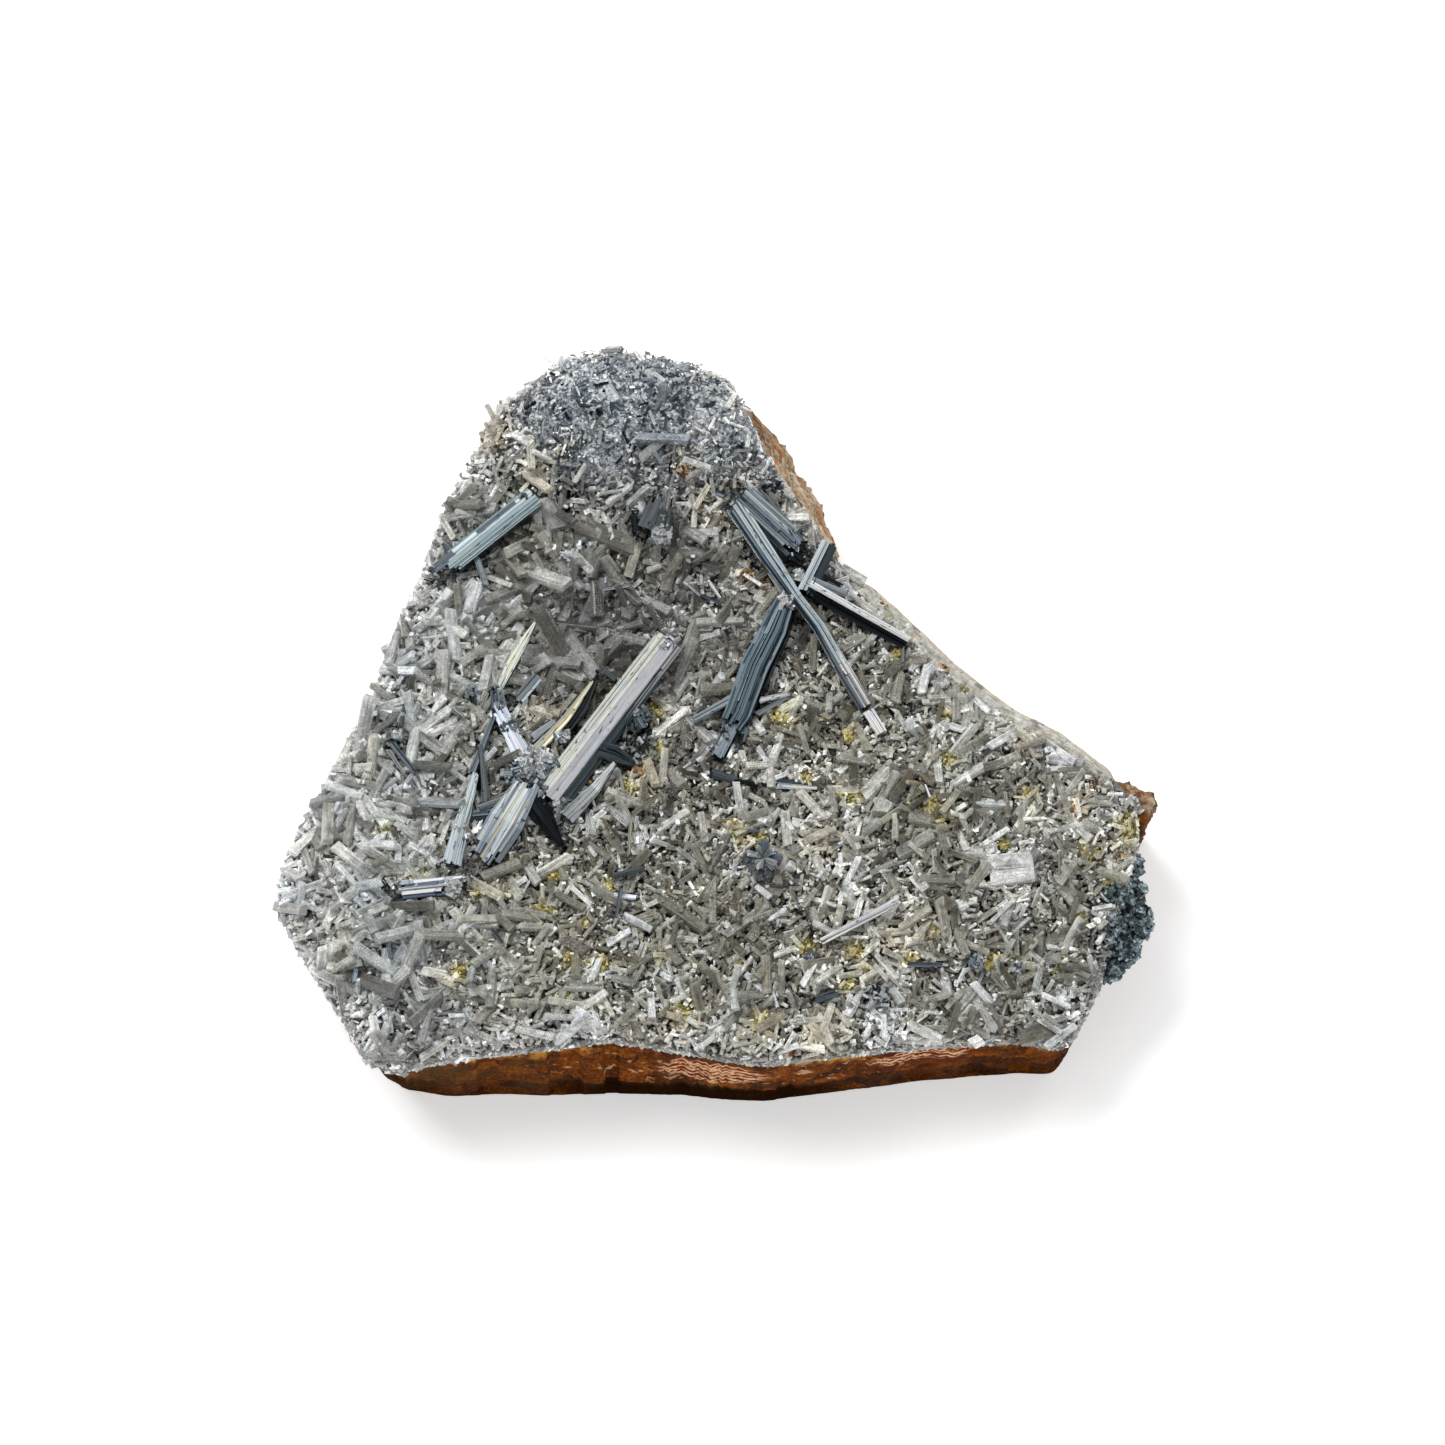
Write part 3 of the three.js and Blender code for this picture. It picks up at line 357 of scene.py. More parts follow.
@dataclass
class Slab:
    """The specimen's broad form, from the same sizes as its solids."""

    crust_depth: float = 4.4
    front_lift: float = 2.3
    front_right_lift: float = 0.9
    knob_rise: float = 5.0
    knob_crust_share: float = 0.6
    knob_place: tuple = ((-11, 42), (20, 11.5))
    hollow_drop: float = 4.5
    hollow_place: tuple = ((-14, 12), (20, 13))
    corner_drop: float = 5.0
    corner_place: tuple = ((52, -55), (30, 28))
    roll: tuple = (2.2, 1.6)
    left_roll: tuple = (5.3, 2.0)
    step: float = 0.55
    bare_corner: tuple = (58.5, -14.3, 4.2)
    set_back: float = 2.6
    roundings: int = 3
    left_slope: float = 0.25
    left_band: tuple = (12, 34)
    rind_start: tuple = (15.0, -15.0)
    box: tuple = ((-61, 60), (-53, 52))
    tries: int = 3
    batch: int = 2000

    def __post_init__(self) -> None:
        """Walks the rim in short steps and sets the crust back where the rock's corner is bare."""
        corners = np.array(RIM, float)
        after = np.roll(corners, -1, axis=0)
        walk = []
        for start, stop in zip(corners, after):
            parts = max(1, round(float(np.linalg.norm(stop[:2] - start[:2])) / self.step))
            walk.append(start + (stop - start) * (np.arange(parts) / parts)[:, None])
        path = np.concatenate(walk)
        for _ in range(self.roundings):
            path = 0.5 * path + 0.25 * (np.roll(path, 1, axis=0) + np.roll(path, -1, axis=0))
        self.rock_rim = path[::-1, :2]
        self.foot = path[::-1, 2]
        self.rock_outward = self.normals(self.rock_rim)
        x, y = self.rock_rim.T
        self.bare = bump(x, y, self.bare_corner[:2], (self.bare_corner[2],) * 2)
        self.rim = self.rock_rim - self.rock_outward * (self.set_back * self.bare)[:, None]
        self.outward = self.normals(self.rim)

    @staticmethod
    def normals(rim: Array) -> Array:
        """Outward unit vectors along a rim whose places run counter-clockwise."""
        along = np.roll(rim, -2, axis=0) - np.roll(rim, 2, axis=0)
        return unit(np.stack([along[:, 1], -along[:, 0]], axis=1))

    def knob(self, x: Array, y: Array) -> Array:
        """How much places belong to the raised narrow end, 0 to 1."""
        return bump(x, y, *self.knob_place, power=4.0)

    def hollow(self, x: Array, y: Array) -> Array:
        """How much places belong to the hollow, 0 to 1."""
        return bump(x, y, *self.hollow_place)

    @staticmethod
    def front(y: Array) -> Array:
        """How much places belong to the front edge, where the crust is thin, 0 to 1."""
        return smooth(-y, 40, 46)

    def broad(self, x: Array, y: Array) -> Array:
        """Height of the broad form at places."""
        corner = self.corner_drop * bump(x, y, *self.corner_place)
        return CRUST_LEVEL + self.knob_rise * self.knob(x, y) - self.hollow_drop * self.hollow(x, y) - corner

    def rock_top(self, x: Array, y: Array) -> Array:
        """Height where the crust meets the wall rock, higher at the front, where the crust is thin."""
        lift = (self.front_lift + self.front_right_lift * smooth(x, 22, 34)) * self.front(y)
        level = self.broad(x, y) - self.crust_depth
        return level - self.knob_crust_share * self.knob_rise * self.knob(x, y) + lift

    def nearest(self, x: Array, y: Array) -> tuple[Array, Array]:
        """Finds the rim's nearest place.

        Args:
            x: Places along X.
            y: Places along Y.

        Returns:
            The distance to the rim and the number of its nearest place.
        """
        number = np.empty(len(x), int)
        distance = np.empty(len(x))
        for start in range(0, len(x), self.batch):
            part = slice(start, start + self.batch)
            gaps = np.hypot(x[part, None] - self.rim[None, :, 0], y[part, None] - self.rim[None, :, 1])
            number[part] = gaps.argmin(axis=1)
            distance[part] = gaps.min(axis=1)
        return distance, number

    def inside(self, x: Array, y: Array) -> Array:
        """Whether places lie within the rim."""
        odd = np.zeros(len(x), bool)
        for (ax, ay), (bx, by) in zip(self.rim, np.roll(self.rim, -1, axis=0)):
            spans = (ay > y) != (by > y)
            with np.errstate(divide="ignore", invalid="ignore"):
                odd ^= spans & (x < ax + (y - ay) / (by - ay) * (bx - ax))
        return odd

    def strew(self, rng: np.random.Generator, count: int) -> tuple[Array, Array]:
        """Draws places within the rim.

        Args:
            rng: The draw.
            count: How many places.

        Returns:
            Their x and y.
        """
        x, y = (rng.uniform(*bounds, count * self.tries) for bounds in self.box)
        kept = self.inside(x, y)
        return x[kept][:count], y[kept][:count]

    def left(self, x: Array, y: Array) -> Array:
        """How much places belong to the left, where the crust wraps the side."""
        return smooth(self.left_slope * y - x, *self.left_band)

    def rind(self, x: Array, y: Array) -> Array:
        """How much places belong to the upper right, where a smooth rind edges the crust."""
        first_x, first_y = self.rind_start
        return smooth(x - first_x, 0.0, 2.0) * smooth(y - first_y, 0.0, 2.0)

    def crust_top(self, x: Array, y: Array, distance: Union[Array, None] = None) -> Array:
        """Height of the crust under its laths, rolled over at the rim.

        Args:
            x: Places along X.
            y: Places along Y.
            distance: Their distance to the rim, where it is known.

        Returns:
            The height at each place.
        """
        depth = self.nearest(x, y)[0] if distance is None else distance
        left = self.left(x, y)
        within = np.clip(depth / (self.roll[0] + self.left_roll[0] * left), 0.0, 1.0)
        drop = self.roll[1] + self.left_roll[1] * left
        return self.broad(x, y) - (1.0 - np.sqrt(1.0 - (1.0 - within) ** 2)) * drop

    def normal(self, x: Array, y: Array, distance: Array, number: Array) -> Array:
        """Outward direction of the crust's surface.

        Args:
            x: Places along X.
            y: Places along Y.
            distance: Their distance to the rim.
            number: Number of the rim's nearest place.

        Returns:
            Unit vectors, leaning outward near the rim.
        """
        reach = 0.8
        slope_x = (self.broad(x + reach, y) - self.broad(x - reach, y)) / (2 * reach)
        slope_y = (self.broad(x, y + reach) - self.broad(x, y - reach)) / (2 * reach)
        left = self.left(x, y)
        width = self.roll[0] + self.left_roll[0] * left
        lean = np.clip(1.0 - distance / width, 0.0, 1.0) ** 2 * (0.5 + 0.9 * left)
        outward = self.outward[number] * lean[:, None]
        return unit(np.stack([outward[:, 0] - slope_x, outward[:, 1] - slope_y, np.ones(len(x))], axis=1))


def ring_skin(index: Array) -> Array:
    """Faces, as four point numbers each, between closed rings of points, one ring a row."""
    low, high = index[:-1], index[1:]
    return np.stack([low, np.roll(low, -1, 1), np.roll(high, -1, 1), high], axis=-1).reshape(-1, 4)


def linked(name: str, data: bpy.types.ID) -> bpy.types.Object:
    """Makes an object of a mesh, a light or a camera.

    Args:
        name: The object's name.
        data: What it shows.

    Returns:
        The object, linked to the scene.
    """
    made = bpy.data.objects.new(name, data)
    bpy.context.scene.collection.objects.link(made)
    return made


@dataclass
class Pile:
    """Gathers many small solids and makes them one mesh."""

    name: str
    points: list = field(default_factory=list)
    faces: list = field(default_factory=list)
    tints: list = field(default_factory=list)
    grains: list = field(default_factory=list)
    count: int = 0

    def add(self, points: Array, faces: Sequence, tint: Array = PLAIN_TINT) -> None:
        """Adds points and the faces between them.

        Args:
            points: Places in millimetres, one a row.
            faces: Index lists into those points.
            tint: One colour, or one a point.
        """
        self.points.append(points)
        self.faces.extend([index + self.count for index in face] for face in faces)
        self.tints.append(np.broadcast_to(tint, (len(points), 4)))
        self.grains.append(np.zeros((len(points), 3)))
        self.count += len(points)

    def add_rings(self, rings: Array, tint: Array, grain: Array) -> None:
        """Adds many solids that share one form, each a skin over rings of corners, closed at both ends.

        Args:
            rings: Corners as solid, ring, corner and coordinate.
            tint: One colour a solid.
            grain: Across, along and number of the solid at each corner, shaped as rings.
        """
        solids, levels, corners, _ = rings.shape
        index = np.arange(levels * corners).reshape(levels, corners)
        skin = ring_skin(index)
        starts = self.count + np.arange(solids)[:, None, None] * (levels * corners)
        caps = np.stack([index[0][::-1], index[-1]])
        self.points.append(rings.reshape(-1, 3))
        self.faces.extend((skin[None] + starts).reshape(-1, 4).tolist())
        self.faces.extend((caps[None] + starts).reshape(-1, corners).tolist())
        self.tints.append(np.repeat(tint, levels * corners, axis=0))
        self.grains.append(grain.reshape(-1, 3))
        self.count += solids * levels * corners

    def make(self) -> bpy.types.Object:
        """Turns the gathered solids into one object.

        Returns:
            The new object, in metres.
        """
        mesh = bpy.data.meshes.new(self.name)
        mesh.from_pydata(np.concatenate(self.points) * MM, [], self.faces)
        tint = mesh.attributes.new("tint", "FLOAT_COLOR", "POINT")
        tint.data.foreach_set("color", np.concatenate(self.tints).astype(np.float32).ravel())
        grain = mesh.attributes.new("grain", "FLOAT_VECTOR", "POINT")
        grain.data.foreach_set("vector", np.concatenate(self.grains).astype(np.float32).ravel())
        mesh.shade_flat()
        mesh.update()
        return linked(self.name, mesh)


def settle(piece: bpy.types.Object, finish: bpy.types.Material, slot: str, *nodes: str) -> bpy.types.Object:
    """Gives a piece its finish and its body, and hides the solids that it stands for.

    Args:
        piece: The piece.
        finish: Its material.
        slot: The record's material slot. Not used.
        nodes: The solids that it replaces.

    Returns:
        The same piece.
    """
    piece.data.materials.clear()
    piece.data.materials.append(finish)
    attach(piece, BODY)
    if nodes:
        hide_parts(*nodes)
    log.info("%s: %d faces", piece.name, len(piece.data.polygons))
    return piece


@dataclass(frozen=True)
class Signal:
    """A node socket on which Python's operators add nodes."""

    bench: "Bench"
    socket: bpy.types.NodeSocket

    @property
    def broad(self) -> bool:
        """Whether it carries a colour or a vector."""
        return self.socket.type in {"RGBA", "VECTOR"}

    def _work(self, operation: str, *values: Union["Signal", float, Sequence[float]]) -> "Signal":
        """Adds one Math or Vector Math node.

        Args:
            operation: The node's operation.
            values: What feeds its sockets.

        Returns:
            The node's result.
        """
        broad = any((isinstance(v, Signal) and v.broad) or isinstance(v, (tuple, list)) for v in values)
        kind = "ShaderNodeVectorMath" if broad else "ShaderNodeMath"
        fed = [(v, v, v) if broad and isinstance(v, (int, float)) else v for v in values]
        return self.bench.node(kind, {"operation": operation}, dict(enumerate(fed)))

    def __add__(self, other: Union["Signal", float]) -> "Signal":
        """self + other"""
        return self._work("ADD", self, other)

    __radd__ = __add__

    def __mul__(self, other: Union["Signal", float]) -> "Signal":
        """self * other"""
        return self._work("MULTIPLY", self, other)

    __rmul__ = __mul__

    def __sub__(self, other: Union["Signal", float]) -> "Signal":
        """self - other"""
        return self._work("SUBTRACT", self, other)

    def __rsub__(self, other: Union["Signal", float]) -> "Signal":
        """other - self"""
        return self._work("SUBTRACT", other, self)

    def __truediv__(self, other: Union["Signal", float]) -> "Signal":
        """self / other"""
        return self._work("DIVIDE", self, other)

    def __pow__(self, other: float) -> "Signal":
        """self to a power"""
        return self._work("POWER", self, other)

    def __abs__(self) -> "Signal":
        """self without its sign"""
        return self._work("ABSOLUTE", self)

    def larger(self, other: "Signal") -> "Signal":
        """The larger of two values."""
        return self._work("MAXIMUM", self, other)

    def clamp(self) -> "Signal":
        """Keeps a value between 0 and 1."""
        return self.bench.node("ShaderNodeClamp", {}, {"Value": self})

    def step(self, low: float, high: float) -> "Signal":
        """A smooth step from 0 at low to 1 at high."""
        inputs = {"Value": self, "From Min": low, "From Max": high}
        return self.bench.node("ShaderNodeMapRange", {"interpolation_type": "SMOOTHSTEP"}, inputs)


class Bench:
    """Builds one material's nodes."""

    def __init__(self, name: str) -> None:
        """Starts a material.

        Args:
            name: The material's name.
        """
        self.material = bpy.data.materials.new(name)
        self.material.use_nodes = True
        self.tree = self.material.node_tree
        self.tree.nodes.clear()

    def node(self, kind: str, settings: dict, inputs: dict, output: Union[int, str] = 0) -> Signal:
        """Adds any node.

        Args:
            kind: The node's type.
            settings: Its own settings, set first. A ramp's stops go under "stops".
            inputs: What feeds its sockets, by name or number.
            output: The socket that is given back.

        Returns:
            That socket.
        """
        made = self.tree.nodes.new(kind)
        for key, value in settings.items():
            if key == "stops":
                self._stops(made, value)
            else:
                setattr(made, key, value)
        for key, value in inputs.items():
            if isinstance(value, Signal):
                self.tree.links.new(value.socket, made.inputs[key])
            else:
                made.inputs[key].default_value = value
        return Signal(self, made.outputs[output])

    @staticmethod
    def _stops(ramp: bpy.types.Node, stops: Sequence[tuple]) -> None:
        """Sets a ramp's stops.

        Args:
            ramp: The ramp node.
            stops: Place and colour of each.
        """
        elements = ramp.color_ramp.elements
        while len(elements) < len(stops):
            elements.new(0.5)
        for element, (place, colour) in zip(elements, stops):
            element.position = place
            element.color = (*colour, 1.0)

    def attribute(self, name: str, output: str) -> Signal:
        """Reads an attribute of the mesh."""
        return self.node("ShaderNodeAttribute", {"attribute_name": name}, {}, output)

    def tint(self) -> Signal:
        """Colour of each lath, strand or speck."""
        return self.attribute("tint", "Color")

    def grain(self) -> list[Signal]:
        """Where the surface is across and along its lath or strand, and that one's number."""
        return self.parts(self.attribute("grain", "Vector"))

    def place(self) -> Signal:
        """Where the surface is, in millimetres in the frame."""
        return self.node("ShaderNodeTexCoord", {}, {}, "Object") * (1.0 / MM)

    def parts(self, vector: Signal) -> list[Signal]:
        """Splits a vector in three."""
        split = self.node("ShaderNodeSeparateXYZ", {}, {0: vector})
        return [Signal(self, output) for output in split.socket.node.outputs]

    def joined(self, *parts: Union[Signal, float]) -> Signal:
        """Makes a vector of three values."""
        return self.node("ShaderNodeCombineXYZ", {}, dict(enumerate(parts)))

    def cloud(self, vector: Signal, scale: float, detail: float = 3.0, rough: float = 0.6) -> Signal:
        """Cloudy noise between 0 and 1."""
        inputs = {"Vector": vector, "Scale": scale, "Detail": detail, "Roughness": rough}
        return self.node("ShaderNodeTexNoise", {}, inputs)

    def streaks(
        self, grain: Sequence[Signal], scales: Sequence[float], detail: float = 3.0, rough: float = 0.6,
    ) -> Signal:
        """Noise drawn out along each lath or strand, by scales across it, along it and among neighbours."""
        scaled = [part if scale == 1.0 else part * scale for part, scale in zip(grain, scales)]
        return self.cloud(self.joined(*scaled), 1.0, detail, rough)

    def cells(self, vector: Signal, scale: float) -> Signal:
        """A value of its own for each small grain."""
        inputs = {"Vector": vector, "Scale": scale}
        return self.parts(self.node("ShaderNodeTexVoronoi", {"feature": "F1"}, inputs, "Color"))[0]

    def mix(
        self, first: Union[Signal, tuple], second: Union[Signal, tuple], share: Union[Signal, float],
    ) -> Signal:
        """Blends two colours: the first where share is 0, the second where it is 1."""
        whole = [(*c, 1.0) if isinstance(c, tuple) else c for c in (first, second)]
        return self.node("ShaderNodeMix", {"data_type": "RGBA"}, {0: share, 6: whole[0], 7: whole[1]}, 2)

    def ramp(self, share: Signal, stops: Sequence[tuple]) -> Signal:
        """Turns a value into a colour by stops."""
        return self.node("ShaderNodeValToRGB", {"stops": stops}, {0: share})

    def relief(self, height: Signal, depth: float, strength: float = 1.0) -> Signal:
        """A bump whose full height is given in millimetres."""
        inputs = {"Height": height, "Strength": strength, "Distance": depth * MM}
        return self.node("ShaderNodeBump", {}, inputs)

    def patch(self, place: Signal, middle: Sequence[float], reach: Sequence[float]) -> Signal:
        """A soft mask, 1 at a middle and falling to 0 at its reach along each axis, in millimetres."""
        x, y, z = self.parts((place - tuple(middle)) / tuple(reach))
        return 1.0 - (x * x + y * y + z * z).step(0.55, 1.1)

    def surface(self, constants: dict, varied: dict) -> bpy.types.Material:
        """Ends the material in one shader.

        Args:
            constants: Values set on the shader's own sockets.
            varied: Signals that feed its sockets.

        Returns:
            The finished material.
        """
        shader = self.node("ShaderNodeBsdfPrincipled", {}, {**constants, **varied})
        out = self.tree.nodes.new("ShaderNodeOutputMaterial")
        self.tree.links.new(shader.socket, out.inputs["Surface"])
        return self.material


@dataclass(frozen=True)
class BariteFinish:
    """Glassy to milky barite: smoky inside, with a painted highlight along its edges, streaked lengthwise."""

    name: str
    clearness: float
    roughness: float = 0.3
    index: float = 1.64
    mottle: float = 0.9
    edge_highlight_power: ClassVar[float] = 6.0

    def make(self) -> bpy.types.Material:
        """Builds the material."""
        bench = Bench(self.name)
        grain = bench.grain()
        edge = (abs(grain[0]) * 2.0).larger(abs(grain[1]) * 2.0) ** self.edge_highlight_power
        streak = bench.streaks(grain, (5.0, 1.2, 60.0)).step(0.35, 0.65)
        speck = bench.cloud(bench.place(), 1.7, 4.0, 0.75)
        veil = bench.cloud(bench.place(), 0.7, 2.0).step(0.4, 0.62)
        tint = bench.tint()
        mottle = (1.0 - 0.5 * self.mottle) + self.mottle * speck.step(0.39, 0.59)
        body = tint * mottle * (0.62 + 0.7 * streak) * (0.78 + 0.44 * veil)
        clear = bench.mix(body, body * 1.5 + (0.05, 0.051, 0.05), self.clearness)
        # Painted highlight: each lath is lighter at its edges, more where speckled.
        lit = bench.mix(clear, tint * 1.3 + (0.2, 0.205, 0.21), (0.5 + 0.5 * speck) * edge)
        varied = {
            "Base Color": lit,
            "Roughness": (self.roughness + 0.3 * speck.step(0.44, 0.6)).clamp(),
            "Normal": bench.relief(streak + 2.0 * speck, 0.1 + 0.05 * self.mottle, 0.3),
        }
        constants = {"IOR": self.index, "Transmission Weight": self.clearness, "Specular IOR Level": 1.0}
        return bench.surface(constants, varied)


@dataclass(frozen=True)
class GroundFinish:
    """The fine, speckled ground between the laths: nearly black in most places, partly its own dark brown,
    partly painted shade between the laths; white and blue-grey on the knob.
    """

    name: str = "crust_ground"
    speckles: ClassVar[tuple] = (
        (0.3, (0.008, 0.007, 0.006)), (0.45, (0.04, 0.033, 0.022)), (0.58, (0.13, 0.12, 0.095)),
        (0.72, (0.42, 0.4, 0.33)),
    )
    knob_stops: ClassVar[tuple] = (
        (0.36, (0.012, 0.018, 0.026)), (0.44, (0.08, 0.105, 0.13)), (0.5, (0.23, 0.26, 0.29)),
        (0.57, (0.52, 0.55, 0.57)), (0.66, (0.88, 0.89, 0.9)),
    )
    brown: ClassVar[tuple] = (0.08, 0.055, 0.028)
    knob_patch: ClassVar[tuple] = ((-11.0, 43.0, 23.0), (23.0, 14.0, 12.0))

    def make(self) -> bpy.types.Material:
        """Builds the material."""
        bench = Bench(self.name)
        place = bench.place()
        fine = bench.cloud(place, 1.3, 4.0, 0.75)
        grain = bench.cells(place, 2.8)
        broad = bench.cloud(place, 0.16, 2.0)
        # Near-black speckles: the ground's own dark brown, with painted shade for the gaps between the laths.
        speckle = bench.ramp(0.6 * fine + 0.4 * grain, self.speckles)
        brown = bench.mix(speckle, self.brown, 0.5 * broad.step(0.45, 0.7))
        sugar = bench.cloud(place, 0.9, 5.0, 0.85) + 0.12 * (grain - 0.5) + 0.3 * (broad - 0.5)
        knob = bench.ramp(sugar, self.knob_stops)
        varied = {
            "Base Color": bench.mix(brown, knob, bench.patch(place, *self.knob_patch)),
            "Roughness": 0.3 + 0.4 * grain,
            "Normal": bench.relief(fine + grain, 0.35),
        }
        return bench.surface({"IOR": 1.55}, varied)


@dataclass(frozen=True)
class RindFinish:
    """Milky rind, tan towards its outer edge, with thin dark lines along it."""

    name: str = "pale_rind"
    milky: ClassVar[tuple] = (
        (0.34, (0.06, 0.05, 0.035)), (0.43, (0.28, 0.265, 0.21)), (0.52, (0.52, 0.5, 0.44)),
        (0.62, (0.8, 0.79, 0.75)),
    )
    tan: ClassVar[tuple] = (0.62, 0.5, 0.31)
    rust: ClassVar[tuple] = (0.5, 0.2, 0.04)
    dark: ClassVar[tuple] = (0.03, 0.027, 0.02)

    def make(self) -> bpy.types.Material:
        """Builds the material."""
        bench = Bench(self.name)
        grain = bench.grain()
        across, along, number = grain
        fine = bench.cloud(bench.place(), 1.1, 5.0, 0.75)
        sweep = bench.streaks(grain, (1.5, 0.4, 1.0), 4.0, 0.7)
        milky = bench.ramp(0.45 * fine + 0.55 * sweep, self.milky)
        outer = bench.mix(milky, self.tan, 0.7 * across.step(0.0, 0.6))
        height = bench.parts(bench.place())[2]
        ripple = bench.joined(across * 3.0 + height * 1.8, along * 0.25, number)
        line = bench.cloud(ripple, 1.0, 4.0, 0.7).step(0.55, 0.59)
        rusty = bench.cloud(bench.place(), 0.5, 3.0).step(0.63, 0.68)
        stained = bench.mix(outer, self.rust, 0.7 * rusty)
        varied = {
            "Base Color": bench.mix(stained, self.dark, 0.85 * line * across.step(-0.9, -0.1)),
            "Roughness": 0.3 + 0.3 * fine,
            "Normal": bench.relief(fine + sweep, 0.35, 0.6),
        }
        return bench.surface({"IOR": 1.6, "Transmission Weight": 0.2}, varied)


@dataclass(frozen=True)
class StibniteFinish:
    """Metallic stibnite with striae along each strand, their sparse dark lines a painted shade of the
    grooves, and a thin tarnish.
    """

    name: str
    roughness: float = 0.22
    metallic: float = 1.0
    film: ClassVar[tuple] = (
        (0.32, (0.4, 0.6, 0.92)), (0.38, (0.74, 0.86, 0.98)), (0.46, WHITE), (0.54, (1.0, 1.0, 0.95)),
        (0.6, (1.0, 0.95, 0.75)), (0.64, (1.0, 0.8, 0.62)), (0.69, (0.9, 0.84, 0.94)),
    )
    dull: ClassVar[tuple] = (0.03, 0.036, 0.042)

    def make(self) -> bpy.types.Material:
        """Builds the material."""
        bench = Bench(self.name)
        grain = bench.grain()
        fine = bench.streaks(grain, (9.0, 0.04, 1.0), rough=0.65)
        groove_shade_lines = bench.streaks(grain, (4.0, 0.02, 1.0)).step(0.58, 0.62)
        wide = bench.streaks(grain, (0.5, 0.2, 0.02))
        marks = bench.streaks(grain, (2.3, 0.6, 1.0), rough=0.7).step(0.62, 0.66)
        film = bench.ramp(wide, self.film)
        tint = bench.tint()
        veiled = bench.mix(WHITE, film, bench.attribute("tint", "Alpha"))
        # Painted shade: the sparse dark lines darken the colour where the grooves are, and also dent the
        # relief.
        shade = (0.64 + 0.46 * fine.step(0.34, 0.66)) * (1.0 - 0.75 * groove_shade_lines) * (0.8 + 0.4 * wide)
        varied = {
            "Base Color": bench.mix(tint * veiled * shade, self.dull, 0.85 * marks),
            "Roughness": (self.roughness + 0.25 * marks + 0.12 * fine).clamp(),
            "Normal": bench.relief(fine - 0.6 * groove_shade_lines, 0.03, 0.4),
        }
        return bench.surface({"Metallic": self.metallic}, varied)


